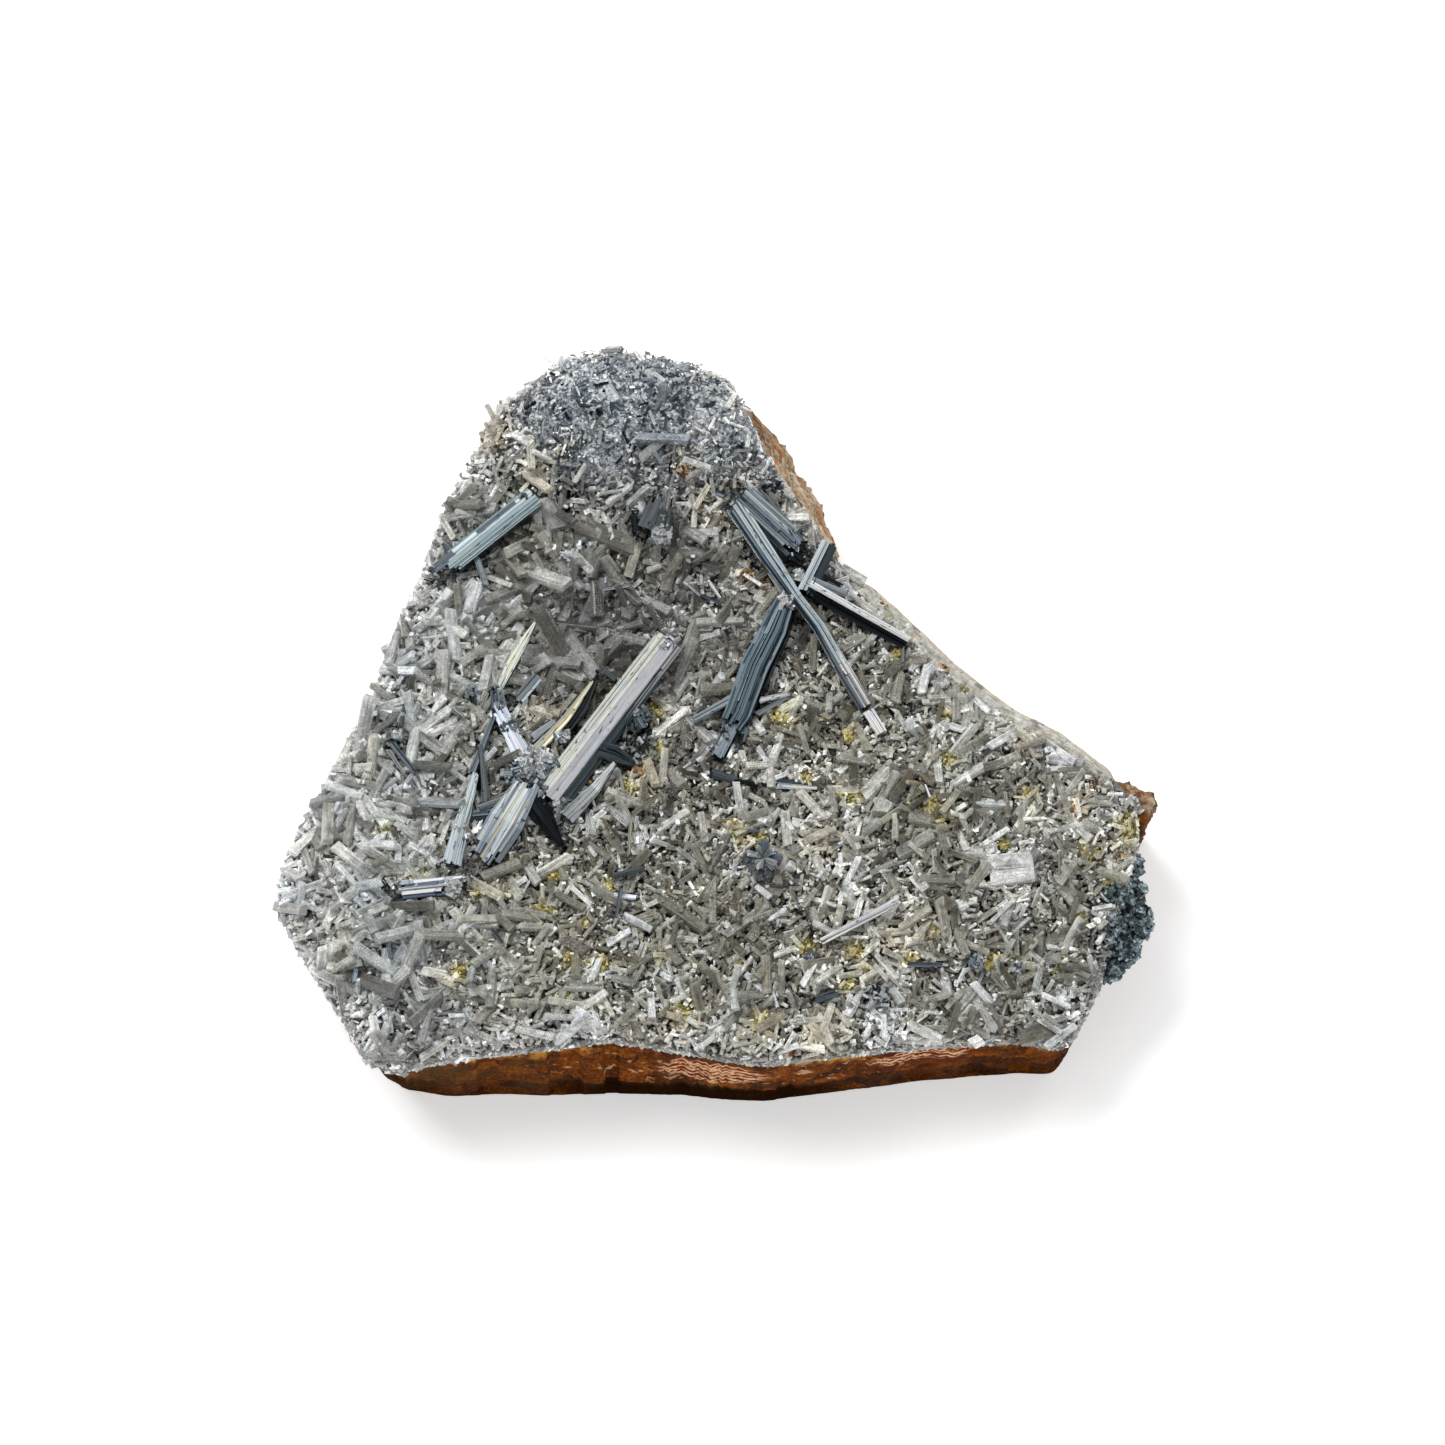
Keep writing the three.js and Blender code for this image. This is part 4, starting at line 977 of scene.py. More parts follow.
@dataclass(frozen=True)
class RockFinish:
    """Rust-brown wall rock: orange near its top, there partly with a painted sheen, a painted shadow under
    the ledge, and cream dashes and bands.
    """

    name: str = "rusty_wall_rock"
    ledge: float = 6.4
    tallest: ClassVar[float] = 30.0
    rusts: ClassVar[tuple] = (
        (0.36, (0.008, 0.0028, 0.0006)), (0.45, (0.055, 0.014, 0.0015)), (0.51, (0.14, 0.036, 0.003)),
        (0.57, (0.26, 0.063, 0.003)), (0.64, (0.5, 0.15, 0.009)), (0.72, (0.72, 0.4, 0.11)),
    )
    bands: ClassVar[tuple] = (
        (0.36, (0.045, 0.034, 0.02)), (0.43, (0.2, 0.13, 0.065)), (0.48, (0.42, 0.31, 0.19)),
        (0.53, (0.62, 0.51, 0.36)), (0.58, (0.7, 0.61, 0.48)), (0.66, (0.36, 0.3, 0.22)),
    )
    olive: ClassVar[tuple] = (0.1, 0.055, 0.01)
    red: ClassVar[tuple] = (0.1, 0.014, 0.003)
    deep_red: ClassVar[tuple] = (0.2, 0.024, 0.002)
    ochre: ClassVar[tuple] = (0.72, 0.32, 0.06)
    cream: ClassVar[tuple] = (0.88, 0.54, 0.3)
    orange: ClassVar[tuple] = (0.42, 0.13, 0.018)
    crack: ClassVar[tuple] = (0.045, 0.04, 0.032)
    seam: ClassVar[tuple] = (0.05, 0.05, 0.048)
    # Colour of the painted shadow under the ledge.
    dark: ClassVar[tuple] = (0.024, 0.008, 0.0018)
    red_patch: ClassVar[tuple] = ((27.0, -49.0, 12.0), (9.0, 6.0, 5.0))
    left_dashes: ClassVar[tuple] = ((-1.5, -52.0, 11.8), (8.0, 6.0, 3.8))
    right_dashes: ClassVar[tuple] = ((27.5, -49.5, 12.6), (8.0, 6.0, 2.6))
    loose_dashes: ClassVar[tuple] = ((4.0, -52.0, 11.0), (38.0, 7.0, 4.2))
    row_rate: ClassVar[float] = 5.2

    def make(self) -> bpy.types.Material:
        """Builds the material."""
        bench = Bench(self.name)
        place = bench.place()
        x, y, z = bench.parts(place)
        flat = place * (1.0, 1.0, 1.45)
        streak = bench.cloud(flat, 0.42, 5.0, 0.72)
        fine = bench.cloud(place, 2.2, 5.0, 0.85)
        broad = bench.cloud(place, 0.09, 3.0)
        block = bench.cells(place + 1.5 * fine, 0.42)
        rust = bench.ramp(0.22 * streak + 0.66 * fine + 0.12 * block, self.rusts)
        top = bench.parts(bench.tint())[0] * self.tallest
        olive = bench.mix(rust, self.olive, 0.55 * (0.0 - x).step(22.0, 30.0) * broad.step(0.35, 0.6))
        reddened = bench.mix(olive, self.red, 0.65 * bench.patch(place, *self.red_patch))
        # Ochre flecks near the top of the front, their brightness partly a painted sheen.
        lit = bench.mix(reddened, self.ochre, 0.8 * self.top_gleam(x, top - z, streak))
        mottled = self.mottled(bench, place, flat, lit)
        sided = bench.mix(mottled, self.banded(bench, place), self.side_share(x, y, broad))
        # Painted shadow under the ledge: darker below a wavy line, deepest at the middle of the front, faint
        # on the other sides.
        rough_line = self.ledge + 1.2 - 1.4 * broad - z
        front = (0.0 - y).step(34.0, 44.0)
        shadow = rough_line.step(0.0, 0.4 + 2.0 * (1.0 - front)) * (0.45 + 0.5 * self.under_ledge(x))
        shadowed = bench.mix(sided, self.dark, shadow * (0.3 + 0.7 * front))
        seam = (z - top + 0.5 * fine).step(-0.35, -0.15) * (top - z).step(0.0, 0.05)
        joined = bench.mix(shadowed, self.seam, 0.85 * seam)
        varied = {
            "Base Color": joined,
            "Roughness": (0.4 + 0.5 * fine).clamp(),
            "Normal": bench.relief(0.6 * fine + 0.4 * streak, 0.5, 0.8),
        }
        return bench.surface({"IOR": 1.4, "Specular IOR Level": 0.05}, varied)

    @staticmethod
    def under_ledge(x: Signal) -> Signal:
        """How much places lie under the deep part of the ledge, at the middle of the front."""
        return (x + 24.0).step(0.0, 7.0) * (18.0 - x).step(0.0, 8.0)

    @staticmethod
    def top_gleam(x: Signal, depth: Signal, streak: Signal) -> Signal:
        """Ochre-orange flecks along the top of the front, at its three bright stretches: the rock's own
        ochre, partly a painted sheen.

        Args:
            x: Place along X.
            depth: How far below the crust.
            streak: The bedding's noise.

        Returns:
            The flecks' share.
        """
        middle = (x - 7.0).step(0.0, 3.0) * (22.0 - x).step(0.0, 3.0)
        right = (x - 35.0).step(0.0, 4.0) * (46.0 - x).step(0.0, 2.0)
        left = (0.0 - x - 14.0).step(0.0, 4.0) * (x + 40.0).step(0.0, 3.0)
        near = (3.6 - depth).step(0.0, 2.4)
        return (near * middle.larger(right).larger(left) * streak.step(0.44, 0.56)).clamp()

    def mottled(self, bench: Bench, place: Signal, flat: Signal, ground: Signal) -> Signal:
        """Cream dashes in rows on deep red, at the middle of the front, and a few loose ones beside it.

        Args:
            bench: The material's bench.
            place: Where the surface is.
            flat: The same, drawn out along the beds.
            ground: The colour under the dashes.

        Returns:
            The new colour.
        """
        x, _, z = bench.parts(place)
        front = bench.patch(place, *self.left_dashes).larger(bench.patch(place, *self.right_dashes))
        row = bench.node("ShaderNodeMath", {"operation": "SINE"}, {0: (z + 0.12 * x) * self.row_rate})
        dash = bench.cloud(flat * (0.9, 0.9, 1.1), 1.2, 3.0, 0.65) + 0.09 * row
        cream = dash.step(0.5, 0.54)
        loose = bench.cloud(flat + (40.0, 0.0, 0.0), 0.5, 3.0).step(0.6, 0.65)
        deep = bench.mix(ground, self.deep_red, front * 0.9)
        spread = bench.patch(place, *self.loose_dashes)
        return bench.mix(deep, self.cream, (front * cream + 0.6 * spread * loose).clamp())

    def banded(self, bench: Bench, place: Signal) -> Signal:
        """Cream, tan, grey and rusty bands of the leaning side, and orange stains."""
        fine = bench.cloud(place, 1.8, 5.0, 0.8)
        bent = place + 2.6 * bench.cloud(place, 0.3, 4.0)
        band = bench.cloud(bent * (0.3, 0.3, 1.0), 0.55, 6.0, 0.75)
        layers = bench.ramp(0.62 * band + 0.38 * fine, self.bands)
        crack = bench.cloud(bent * (0.22, 0.22, 1.5), 0.9, 4.0, 0.65).step(0.57, 0.6)
        cracked = bench.mix(layers, self.crack, 0.75 * crack)
        stain = bench.cloud(place, 0.22, 5.0, 0.72) + 0.3 * (fine - 0.5)
        return bench.mix(cracked, self.orange, 0.85 * stain.step(0.5, 0.64))

    @staticmethod
    def side_share(x: Signal, y: Signal, broad: Signal) -> Signal:
        """How much the banded look covers a place: the upper right side, less at its two rusty ends."""
        beyond = (0.62 * x + 0.78 * y).step(20.0, 27.0)
        orange = (y - 0.3 * x).step(38.0, 42.0)
        tip = x.step(53.5, 55.5)
        return (beyond * (1.0 - 0.5 * orange) * (1.0 - 0.3 * tip) * broad.step(0.2, 0.4)).clamp()


@dataclass(frozen=True)
class OchreFinish:
    """Powdery yellow antimony ochre."""

    name: str = "yellow_ochre"

    def make(self) -> bpy.types.Material:
        """Builds the material."""
        bench = Bench(self.name)
        fine = bench.cloud(bench.place(), 1.6, 2.0)
        colour = bench.tint() * (0.5 + 0.9 * fine)
        return bench.surface({"IOR": 1.4}, {"Base Color": colour, "Roughness": 0.6 + 0.3 * fine})


@dataclass(frozen=True)
class MassiveFinish:
    """Dark granular stibnite."""

    name: str = "massive_stibnite"
    dark: ClassVar[tuple] = (0.07, 0.1, 0.112)
    bright: ClassVar[tuple] = (0.58, 0.69, 0.73)

    def make(self) -> bpy.types.Material:
        """Builds the material."""
        bench = Bench(self.name)
        place = bench.place()
        fine = bench.cloud(place, 1.2, 4.0, 0.7)
        sparkle = bench.cells(place, 1.1)
        shade = bench.mix(self.dark, self.bright, fine.step(0.43, 0.68))
        varied = {
            "Base Color": shade * (0.5 + 0.8 * sparkle),
            "Roughness": (0.18 + 0.4 * sparkle).clamp(),
            "Normal": bench.relief(fine + 0.5 * sparkle, 0.25, 0.8),
        }
        return bench.surface({"Metallic": 0.9}, varied)


@dataclass
class WallRock:
    """The slab of wall rock under the crust."""

    slab: Slab
    levels: int = 40
    lean_levels: tuple = ((0, 1.0), (4.8, 0.95), (7.2, 0.85), (10.8, 0.6), (18, 0.0))
    ledge_height: float = 6.4
    ledge_wave: float = 1.2
    undercut: tuple = (0.5, 1.4)
    bed_depths: tuple = (0.25, 0.9)
    corner_rise: float = 2.2
    top_insets: tuple = (1.2, 2.6, 4.4)
    core_depth: float = 6.5

    def build(self) -> bpy.types.Object:
        """Builds the slab's sides, its flat underside and the top that its crust leaves bare.

        Returns:
            The rock piece.
        """
        rim, outward = self.slab.rock_rim, self.slab.rock_outward
        top = self.slab.rock_top(rim[:, 0], rim[:, 1]) + self.corner_rise * self.slab.bare
        rings = [self.ring(top, share) for share in np.linspace(0.0, 1.0, self.levels)]
        rings += [np.column_stack([rim - outward * inset, top + 0.1]) for inset in self.top_insets]
        for ring in rings[self.levels:]:
            ring[:, 2] += 0.4 * lumps(ring, 1.5, 9.0)
        rings.append(np.column_stack([rim - outward * self.top_insets[-1], top - self.core_depth]))
        shade = np.zeros((len(rim), 4))
        shade[:, 0], shade[:, 3] = top / RockFinish.tallest, 1.0
        index = np.arange(len(rings) * len(rim)).reshape(-1, len(rim))
        faces = ring_skin(index).tolist() + [index[0][::-1].tolist(), index[-1].tolist()]
        pile = Pile("wall_rock_slab")
        pile.add(np.concatenate(rings), faces, np.tile(shade, (len(rings), 1)))
        return settle(pile.make(), RockFinish().make(), "wall_rock", "wall_rock")

    def ring(self, top: Array, share: float) -> Array:
        """One level of the slab's broken side.

        Args:
            top: The side's height along the rim.
            share: The level's share of that height.

        Returns:
            The level's places.
        """
        rim = self.slab.rock_rim
        height = top * share
        heights, shares = zip(*self.lean_levels)
        places = np.column_stack([rim, height])
        ledge = self.ledge_height + self.ledge_wave * lumps(places * (1, 1, 0), 14.0, 4.0, 2)
        beds = 0.3 * np.sign(lumps(places * (0.2, 0.2, 1.6) + (0, 0, 40), 1.8, 6.0, 1))
        deep = smooth(rim[:, 0], -24, -17) * smooth(-rim[:, 0], -18, -10) * (rim[:, 1] < -40)
        undercut = self.undercut[0] + (self.undercut[1] - self.undercut[0]) * deep
        recess = np.where(height < ledge, -undercut, 0.3 * np.exp(-np.maximum(height - ledge, 0) / 1.6))
        wild = 1.0 - smooth(-rim[:, 1], 36, 43)
        relief = 3.2 * chips(places * (1, 1, 1.5), 7.0, 21) + 1.1 * chips(places, 2.2, 22)
        least, more = self.bed_depths
        relief = relief + (least + more * wild) * beds + 0.12 * lumps(places, 0.9, 3.0, 2)
        bulge = 0.9 * lumps(places * (1, 1, 1.6), 6.5, 31.0, 2)
        bulge = bulge + 0.45 * lumps(places * (1, 1, 1.8), 2.4, 32.0, 3)
        relief = relief + wild * (bulge + 2.0 * chips(places * (1, 1, 0.8), 4.0, 33))
        grip = smooth(height, -0.4, 1.2) * (1.0 - 0.6 * smooth(np.full(len(rim), share), 0.93, 1.0))
        out = self.slab.foot * np.interp(height, heights, shares) + grip * (recess + 0.45 * relief)
        return np.column_stack([rim + self.slab.rock_outward * out[:, None], height])


@dataclass
class CrustGround:
    """The crust's own mass, under the laths."""

    slab: Slab
    spacing: float = 0.78
    knob_spacing: float = 0.42
    fine_from: float = 0.35
    row_share: ClassVar[float] = 0.866
    margin: ClassVar[float] = 0.6

    def build(self) -> bpy.types.Object:
        """Builds the crust's lumpy top, its side and its hidden bottom.

        Returns:
            The ground piece.
        """
        rim = self.slab.rim
        coarse = self.grid(self.spacing)
        fine = self.grid(self.knob_spacing)
        coarse = coarse[self.slab.knob(*coarse.T) < self.fine_from]
        fine = fine[self.slab.knob(*fine.T) >= self.fine_from]
        plan = np.concatenate([rim, coarse, fine])
        edges = [(i, (i + 1) % len(rim)) for i in range(len(rim))]
        flat = geometry.delaunay_2d_cdt([Vector(p) for p in plan.tolist()], edges, [], 1, 1e-5)
        plan = np.array([tuple(p) for p in flat[0]])
        top = self.top_heights(plan)
        bottom = self.slab.rock_top(*rim.T) - 0.3
        around = np.arange(len(rim))
        pile = Pile("crust_ground")
        levels = [np.column_stack([plan, top])]
        skin = []
        upper = around
        for share in (0.25, 0.5, 0.75, 1.0):
            level = top[around] * (1 - share) + bottom * share
            out = 0.3 * lumps(np.column_stack([rim, level]), 1.3, 7.0) * (share < 1)
            lower = around + sum(len(part) for part in levels)
            levels.append(np.column_stack([rim + self.slab.outward * out[:, None], level]))
            skin += ring_skin(np.stack([lower, upper])).tolist()
            upper = lower
        pile.add(np.concatenate(levels), list(flat[2]) + skin + [upper[::-1].tolist()])
        return settle(pile.make(), GroundFinish().make(), "barite", "barite_crust")

    def grid(self, spacing: float) -> Array:
        """Places in staggered rows over the crust, clear of its rim.

        Args:
            spacing: The distance between places.

        Returns:
            The places in plan.
        """
        x, y = np.meshgrid(np.arange(-62, 62, spacing), np.arange(-56, 54, spacing * self.row_share))
        x[1::2] += 0.5 * spacing
        x, y = x.ravel(), y.ravel()
        kept = self.slab.inside(x, y)
        x, y = x[kept], y[kept]
        kept = self.slab.nearest(x, y)[0] > self.margin * spacing
        return np.column_stack([x[kept], y[kept]])

    def top_heights(self, plan: Array) -> Array:
        """Height of the ground's lumpy top.

        Args:
            plan: Places, the rim's first.

        Returns:
            The height at each place.
        """
        x, y = plan.T
        places = np.column_stack([x, y, np.zeros(len(x))])
        relief = 0.8 * lumps(places, 4.0, 5.0) + 0.45 * lumps(places, 1.1, 6.0, 2)
        knob = self.slab.knob(x, y)
        return self.slab.crust_top(x, y) - 0.75 + 0.65 * knob + (1.0 - 0.45 * knob) * relief


@dataclass
class LathBatch:
    """A batch of laths that share one form."""

    middle: Array
    along: Array
    roll: Array
    length: Array
    width: Array
    thickness: Array
    tint: Array
    square: ClassVar[tuple] = ((0.5, -0.5), (0.5, 0.5), (-0.5, 0.5), (-0.5, -0.5))
    bevelled: ClassVar[tuple] = (
        (0.5, -0.5), (0.5, 0.22), (0.4, 0.5), (-0.4, 0.5), (-0.5, 0.22), (-0.5, -0.5),
    )
    plain_ends: ClassVar[tuple] = (0.86, 0.92)
    bevelled_ends: ClassVar[tuple] = (0.82, 0.85)
    tip_share: ClassVar[float] = 0.12
    most_skew: ClassVar[float] = 0.3
    uneven: ClassVar[tuple] = (0.95, 1.05)

    def rings(self, form: Form, seed: int) -> tuple[Array, Array]:
        """Works out the laths' corners.

        Args:
            form: Their form.
            seed: Seed of the small differences.

        Returns:
            Corners as lath, ring, corner and coordinate, and their grain.
        """
        rng = np.random.default_rng(seed)
        count = len(self.middle)
        level = unit(np.cross(SKYWARD, self.along) + 1e-6)
        raised = np.cross(self.along, level)
        cos, sin = np.cos(self.roll)[:, None], np.sin(self.roll)[:, None]
        side = level * cos + raised * sin
        up = np.cross(self.along, side)
        tip = self.tip_share * self.width / self.length
        ends = np.full(count, 0.5)
        section = self.square if form is Form.GRAIN else self.bevelled
        first, last = self.bevelled_ends if form is Form.LATH else self.plain_ends
        stations = [(-ends, first), (ends, last)]
        if form is Form.LATH:
            stations[1:1] = [(-ends + tip, 1.0), (ends - tip, 1.0)]
        rings = np.empty((count, len(stations), len(section), 3))
        grain = np.empty_like(rings)
        skew = rng.uniform(-self.most_skew, self.most_skew, (count, 2))
        grain[..., 2] = rng.random(count)[:, None, None]
        for ring, (at, scale) in enumerate(stations):
            end = 1.0 if ring in (0, len(stations) - 1) else 0.4
            for corner, (u, v) in enumerate(section):
                slant = end * (skew[:, 0] * u * self.width + skew[:, 1] * v * self.thickness)
                jitter = rng.uniform(*self.uneven, (count, 2))
                rings[:, ring, corner] = (
                    self.middle
                    + self.along * (at * self.length + slant)[:, None]
                    + side * (u * scale * self.width * jitter[:, 0])[:, None]
                    + up * (v * (0.5 + 0.5 * scale) * self.thickness * jitter[:, 1])[:, None]
                )
                grain[:, ring, corner, 0] = u
                grain[:, ring, corner, 1] = at
        return rings, grain

    def heap(self, pile: Pile, form: Form, seed: int) -> Pile:
        """Adds the laths to a pile.

        Args:
            pile: Where they go.
            form: The laths' form.
            seed: Seed of the small differences.

        Returns:
            The same pile.
        """
        rings, grain = self.rings(form, seed)
        pile.add_rings(rings, self.tint, grain)
        return pile


@dataclass(frozen=True)
class Layer:
    """One size of scattered laths."""

    name: str
    count: int
    length: tuple
    breadth: tuple
    clearness: float
    form: Form
    stack: tuple
    tilt: float
    fineness: float = 0.0
    knob_shrink: float = 0.5
    knob_thinning: float = 0.7
    zoned: bool = False


LAYERS = (
    Layer("broad_laths", 560, (4.0, 7.0), (0.16, 0.24), 0.6, Form.LATH, (0.4, 1.3), 0.25, zoned=True),
    Layer("long_laths", 1050, (3.0, 5.4), (0.16, 0.27), 0.5, Form.LATH, (0.1, 1.0), 0.27),
    Layer("middle_laths", 5200, (1.8, 3.3), (0.16, 0.27), 0.25, Form.BAR, (-0.45, 0.7), 0.36, 0.2),
    Layer("small_laths", 16600, (0.8, 1.9), (0.24, 0.42), 0.0, Form.GRAIN, (-0.6, 0.5), 0.45, 0.5),
    Layer("fine_grains", 10000, (0.45, 1.0), (0.35, 0.7), 0.0, Form.GRAIN, (-0.4, 0.6), 0.7, 0.9, 0.2, 0.0),
    Layer("sugary_grains", 8000, (0.35, 0.8), (0.4, 0.8), 0.0, Form.GRAIN, (-0.5, 0.3), 0.8, 1.0, 0.2, 0.0),
)


@dataclass
class CrustColours:
    """Colours of the crust's laths by where they lie."""

    slab: Slab
    cloud_size: float = 5.0
    cloud_share: float = 0.25
    spread: tuple = (0.19, 0.2)
    stains: tuple = ((OCHRE, (1.12, 1.0, 0.35)), (RUST, (1.05, 0.8, 0.5)))
    # How much the lowest laths darken, in each channel, as dirt and painted shade.
    dirt_and_shade: tuple = (0.8, 0.82, 0.86)
    lightest: float = 0.9

    def draw(
        self, x: Array, y: Array, distance: Array, fineness: float, rng: np.random.Generator,
        level: Union[Array, None] = None,
    ) -> Array:
        """Draws a colour for each lath, near that of its neighbours, darker where it lies deep: dirt, and
        painted shade in the gaps between the laths.

        Args:
            x: Places along X.
            y: Places along Y.
            distance: Their distance to the rim.
            fineness: 0 for large laths, which differ little, to 1 for the finest grains.
            rng: The draw.
            level: 0 for the lowest laths to 1 for the uppermost, which get the least dirt and painted shade.

        Returns:
            One colour a lath.
        """
        places = np.column_stack([x, y, np.zeros(len(x))])
        cloud = lumps(places, self.cloud_size, 12.0, 3)
        least, more = self.spread
        own = rng.normal(0.0, least + more * fineness, len(x))
        rank = 0.5 + self.cloud_share * cloud + own + 0.16 * (0.4 - fineness)
        colours = self.ramp(Growth.PLATEAU, rank)
        rim = smooth(2.8 - distance, 0.0, 2.4) * (0.55 + 0.3 * self.slab.left(x, y))
        rim = rim * (1 - 0.6 * self.slab.front(y))
        for growth, share in (
            (Growth.HOLLOW, self.slab.hollow(x, y)),
            (Growth.LEFT, smooth(-x, 20, 46)),
            (Growth.KNOB, self.slab.knob(x, y)),
            (Growth.RIM, np.maximum(rim, 0.85 * near_patches(x, y, PALE))),
            (Growth.CREAM, 0.75 * near_patches(x, y, CREAM)),
            (Growth.DUSKY, 0.75 * near_patches(x, y, DUSKY) * (rng.random(len(x)) < 0.55)),
        ):
            colours = colours * (1 - share[:, None]) + self.ramp(growth, rank) * share[:, None]
        warm = 0.05 * lumps(places, 8.0, 3.0, 2) + rng.normal(0.0, 0.015, len(x))
        colours = colours * np.stack([1.0 + warm, np.ones(len(x)), 1.0 - 2.0 * warm], axis=1)
        for patches, stain in self.stains:
            reach = near_patches(x, y, patches) * (0.35 + 0.65 * fineness) * rng.uniform(0.4, 1.0, len(x))
            colours = colours * (1 - reach[:, None] * (1 - np.array(stain)))
        # Dirt and painted shade: the lower a lath lies, the darker it is, half as much on the knob.
        if level is not None:
            depth = (1.0 - smooth(level, 0.0, 0.85))[:, None] * (1 - 0.5 * self.slab.knob(x, y))[:, None]
            colours = colours * (1 - depth * np.array(self.dirt_and_shade))
        return np.column_stack([np.clip(colours, 0.0, self.lightest), np.ones(len(x))])

    @staticmethod
    def ramp(growth: Growth, rank: Array) -> Array:
        """Colours at places of a growth's ramp.

        Args:
            growth: The ramp.
            rank: 0 for its darkest to 1 for its lightest.

        Returns:
            One colour a place.
        """
        stops = np.array(growth.value)
        at = np.linspace(0.0, 1.0, len(stops))
        return np.column_stack([np.interp(rank, at, stops[:, channel]) for channel in range(3)])


@dataclass
class BariteCrust:
    """The laths of the crust, from the large listed ones down to the sugary grains."""

    slab: Slab
    strewn_count: int = 42
    white: tuple = (0.93, 0.94, 0.93)
    highest: float = 26.3
    overhang: float = 0.35
    front_cut: float = 0.6
    rind_gap: float = 2.2
    hollow_growth: float = 0.5
    left_growth: float = 0.2
    steepest: float = 1.25
    side_count: int = 8000
    side_lengths: tuple = (0.4, 1.5)
    side_widths: tuple = (0.3, 0.6)
    seed: int = Seed.BARITE
    rind_across: tuple = (-3.0, -2.4, -1.7, -1.0, -0.3, 0.4, 0.8, 0.95, 0.9, 0.6, -0.4)
    rind_fall: tuple = (-1.6, -0.25, 0.25, 0.4, 0.35, 0.1, -0.4, -1.1, -2.0, -3.0, -3.2)

    def build(self) -> None:
        """Builds every size of lath."""
        self.colours = CrustColours(self.slab)
        CrustGround(self.slab).build()
        self.large()
        for order, layer in enumerate(LAYERS):
            self.scatter(layer, self.seed + order)
        self.side(self.seed + len(LAYERS))
        self.rind()

    def rind(self, spacing: float = 0.3) -> None:
        """Builds the smooth, pale rind that edges the crust at the upper right.

        Args:
            spacing: The distance between its cross-sections.
        """
        first = int(np.argmax(self.slab.rind(*self.slab.rim.T) < 0.5))
        order = (np.arange(len(self.slab.rim)) + first) % len(self.slab.rim)
        order = order[self.slab.rind(*self.slab.rim[order].T) >= 0.5]
        rim, outward = self.slab.rim[order], self.slab.outward[order]
        run = np.concatenate([[0.0], np.cumsum(np.linalg.norm(np.diff(rim, axis=0), axis=1))])
        at = np.arange(0.0, run[-1], spacing)
        rim, outward = (
            np.column_stack([np.interp(at, run, part[:, axis]) for axis in (0, 1)]) for part in (rim, outward)
        )
        across, fall = np.array(self.rind_across), np.array(self.rind_fall)
        whole = smooth(at, 0.0, 6.0) * smooth(at[-1] - at, 0.0, 6.0)
        spread = -1.4 + (across[None] + 1.4) * (0.25 + 0.75 * whole[:, None])
        plan = rim[:, None] + outward[:, None] * spread[:, :, None]
        places = np.concatenate([plan, np.zeros(plan.shape[:2] + (1,))], axis=2).reshape(-1, 3)
        distance = np.tile(np.maximum(-across, 0.0), len(at))
        wave = 0.3 * lumps(places, 2.2, 15.0, 3) + 0.12 * lumps(places, 0.8, 16.0, 2)
        sunk = np.repeat(1.6 * (1.0 - whole), len(across))
        top = self.slab.crust_top(places[:, 0], places[:, 1], distance)
        places[:, 2] = top + np.tile(fall, len(at)) + wave - sunk
        grain = np.stack(np.broadcast_arrays(across[None], at[:, None], 3.0), axis=-1)
        pile = Pile("crust_rind")
        pile.add_rings(places.reshape(1, len(at), -1, 3), PLAIN_TINT[None], grain[None])
        settle(pile.make(), RindFinish().make(), "barite", "barite_crust")

    def large(self) -> None:
        """Builds the large laths: those listed one by one, and those that the solids strew."""
        rng = np.random.default_rng(self.seed - 1)
        ends = np.array(LARGE_LATHS + WHITE_LATHS, float)
        low = self.slab.crust_top(ends[:, 0], ends[:, 1]) + 0.4 * ends[:, 5]
        high = self.slab.crust_top(ends[:, 2], ends[:, 3]) + 0.8 * ends[:, 5]
        start = np.array([seen(x, y, z) for x, y, z in zip(ends[:, 0], ends[:, 1], low)])
        stop = np.array([seen(x, y, z) for x, y, z in zip(ends[:, 2], ends[:, 3], high)])
        distance = self.slab.nearest(ends[:, 0], ends[:, 1])[0]
        tint = self.colours.draw(ends[:, 0], ends[:, 1], distance, 0.0, rng)
        tint[len(LARGE_LATHS):, :3] = self.white
        placed = LathBatch(
            0.5 * (start + stop), unit(stop - start),
            np.array([between(row[0] * 3 + row[3], -0.35, 0.35) for row in ends]),
            np.linalg.norm(stop - start, axis=1), ends[:, 4], 0.6 + 0.42 * ends[:, 4], tint,
        )
        pile = placed.heap(Pile("crust_large_laths"), Form.LATH, Seed.LARGE_LATHS)
        self.strewn(rng).heap(pile, Form.LATH, Seed.STREWN_LATHS)
        finish = BariteFinish("large_barite", 0.6, 0.1, mottle=0.35).make()
        settle(pile.make(), finish, "barite", "barite_crust")

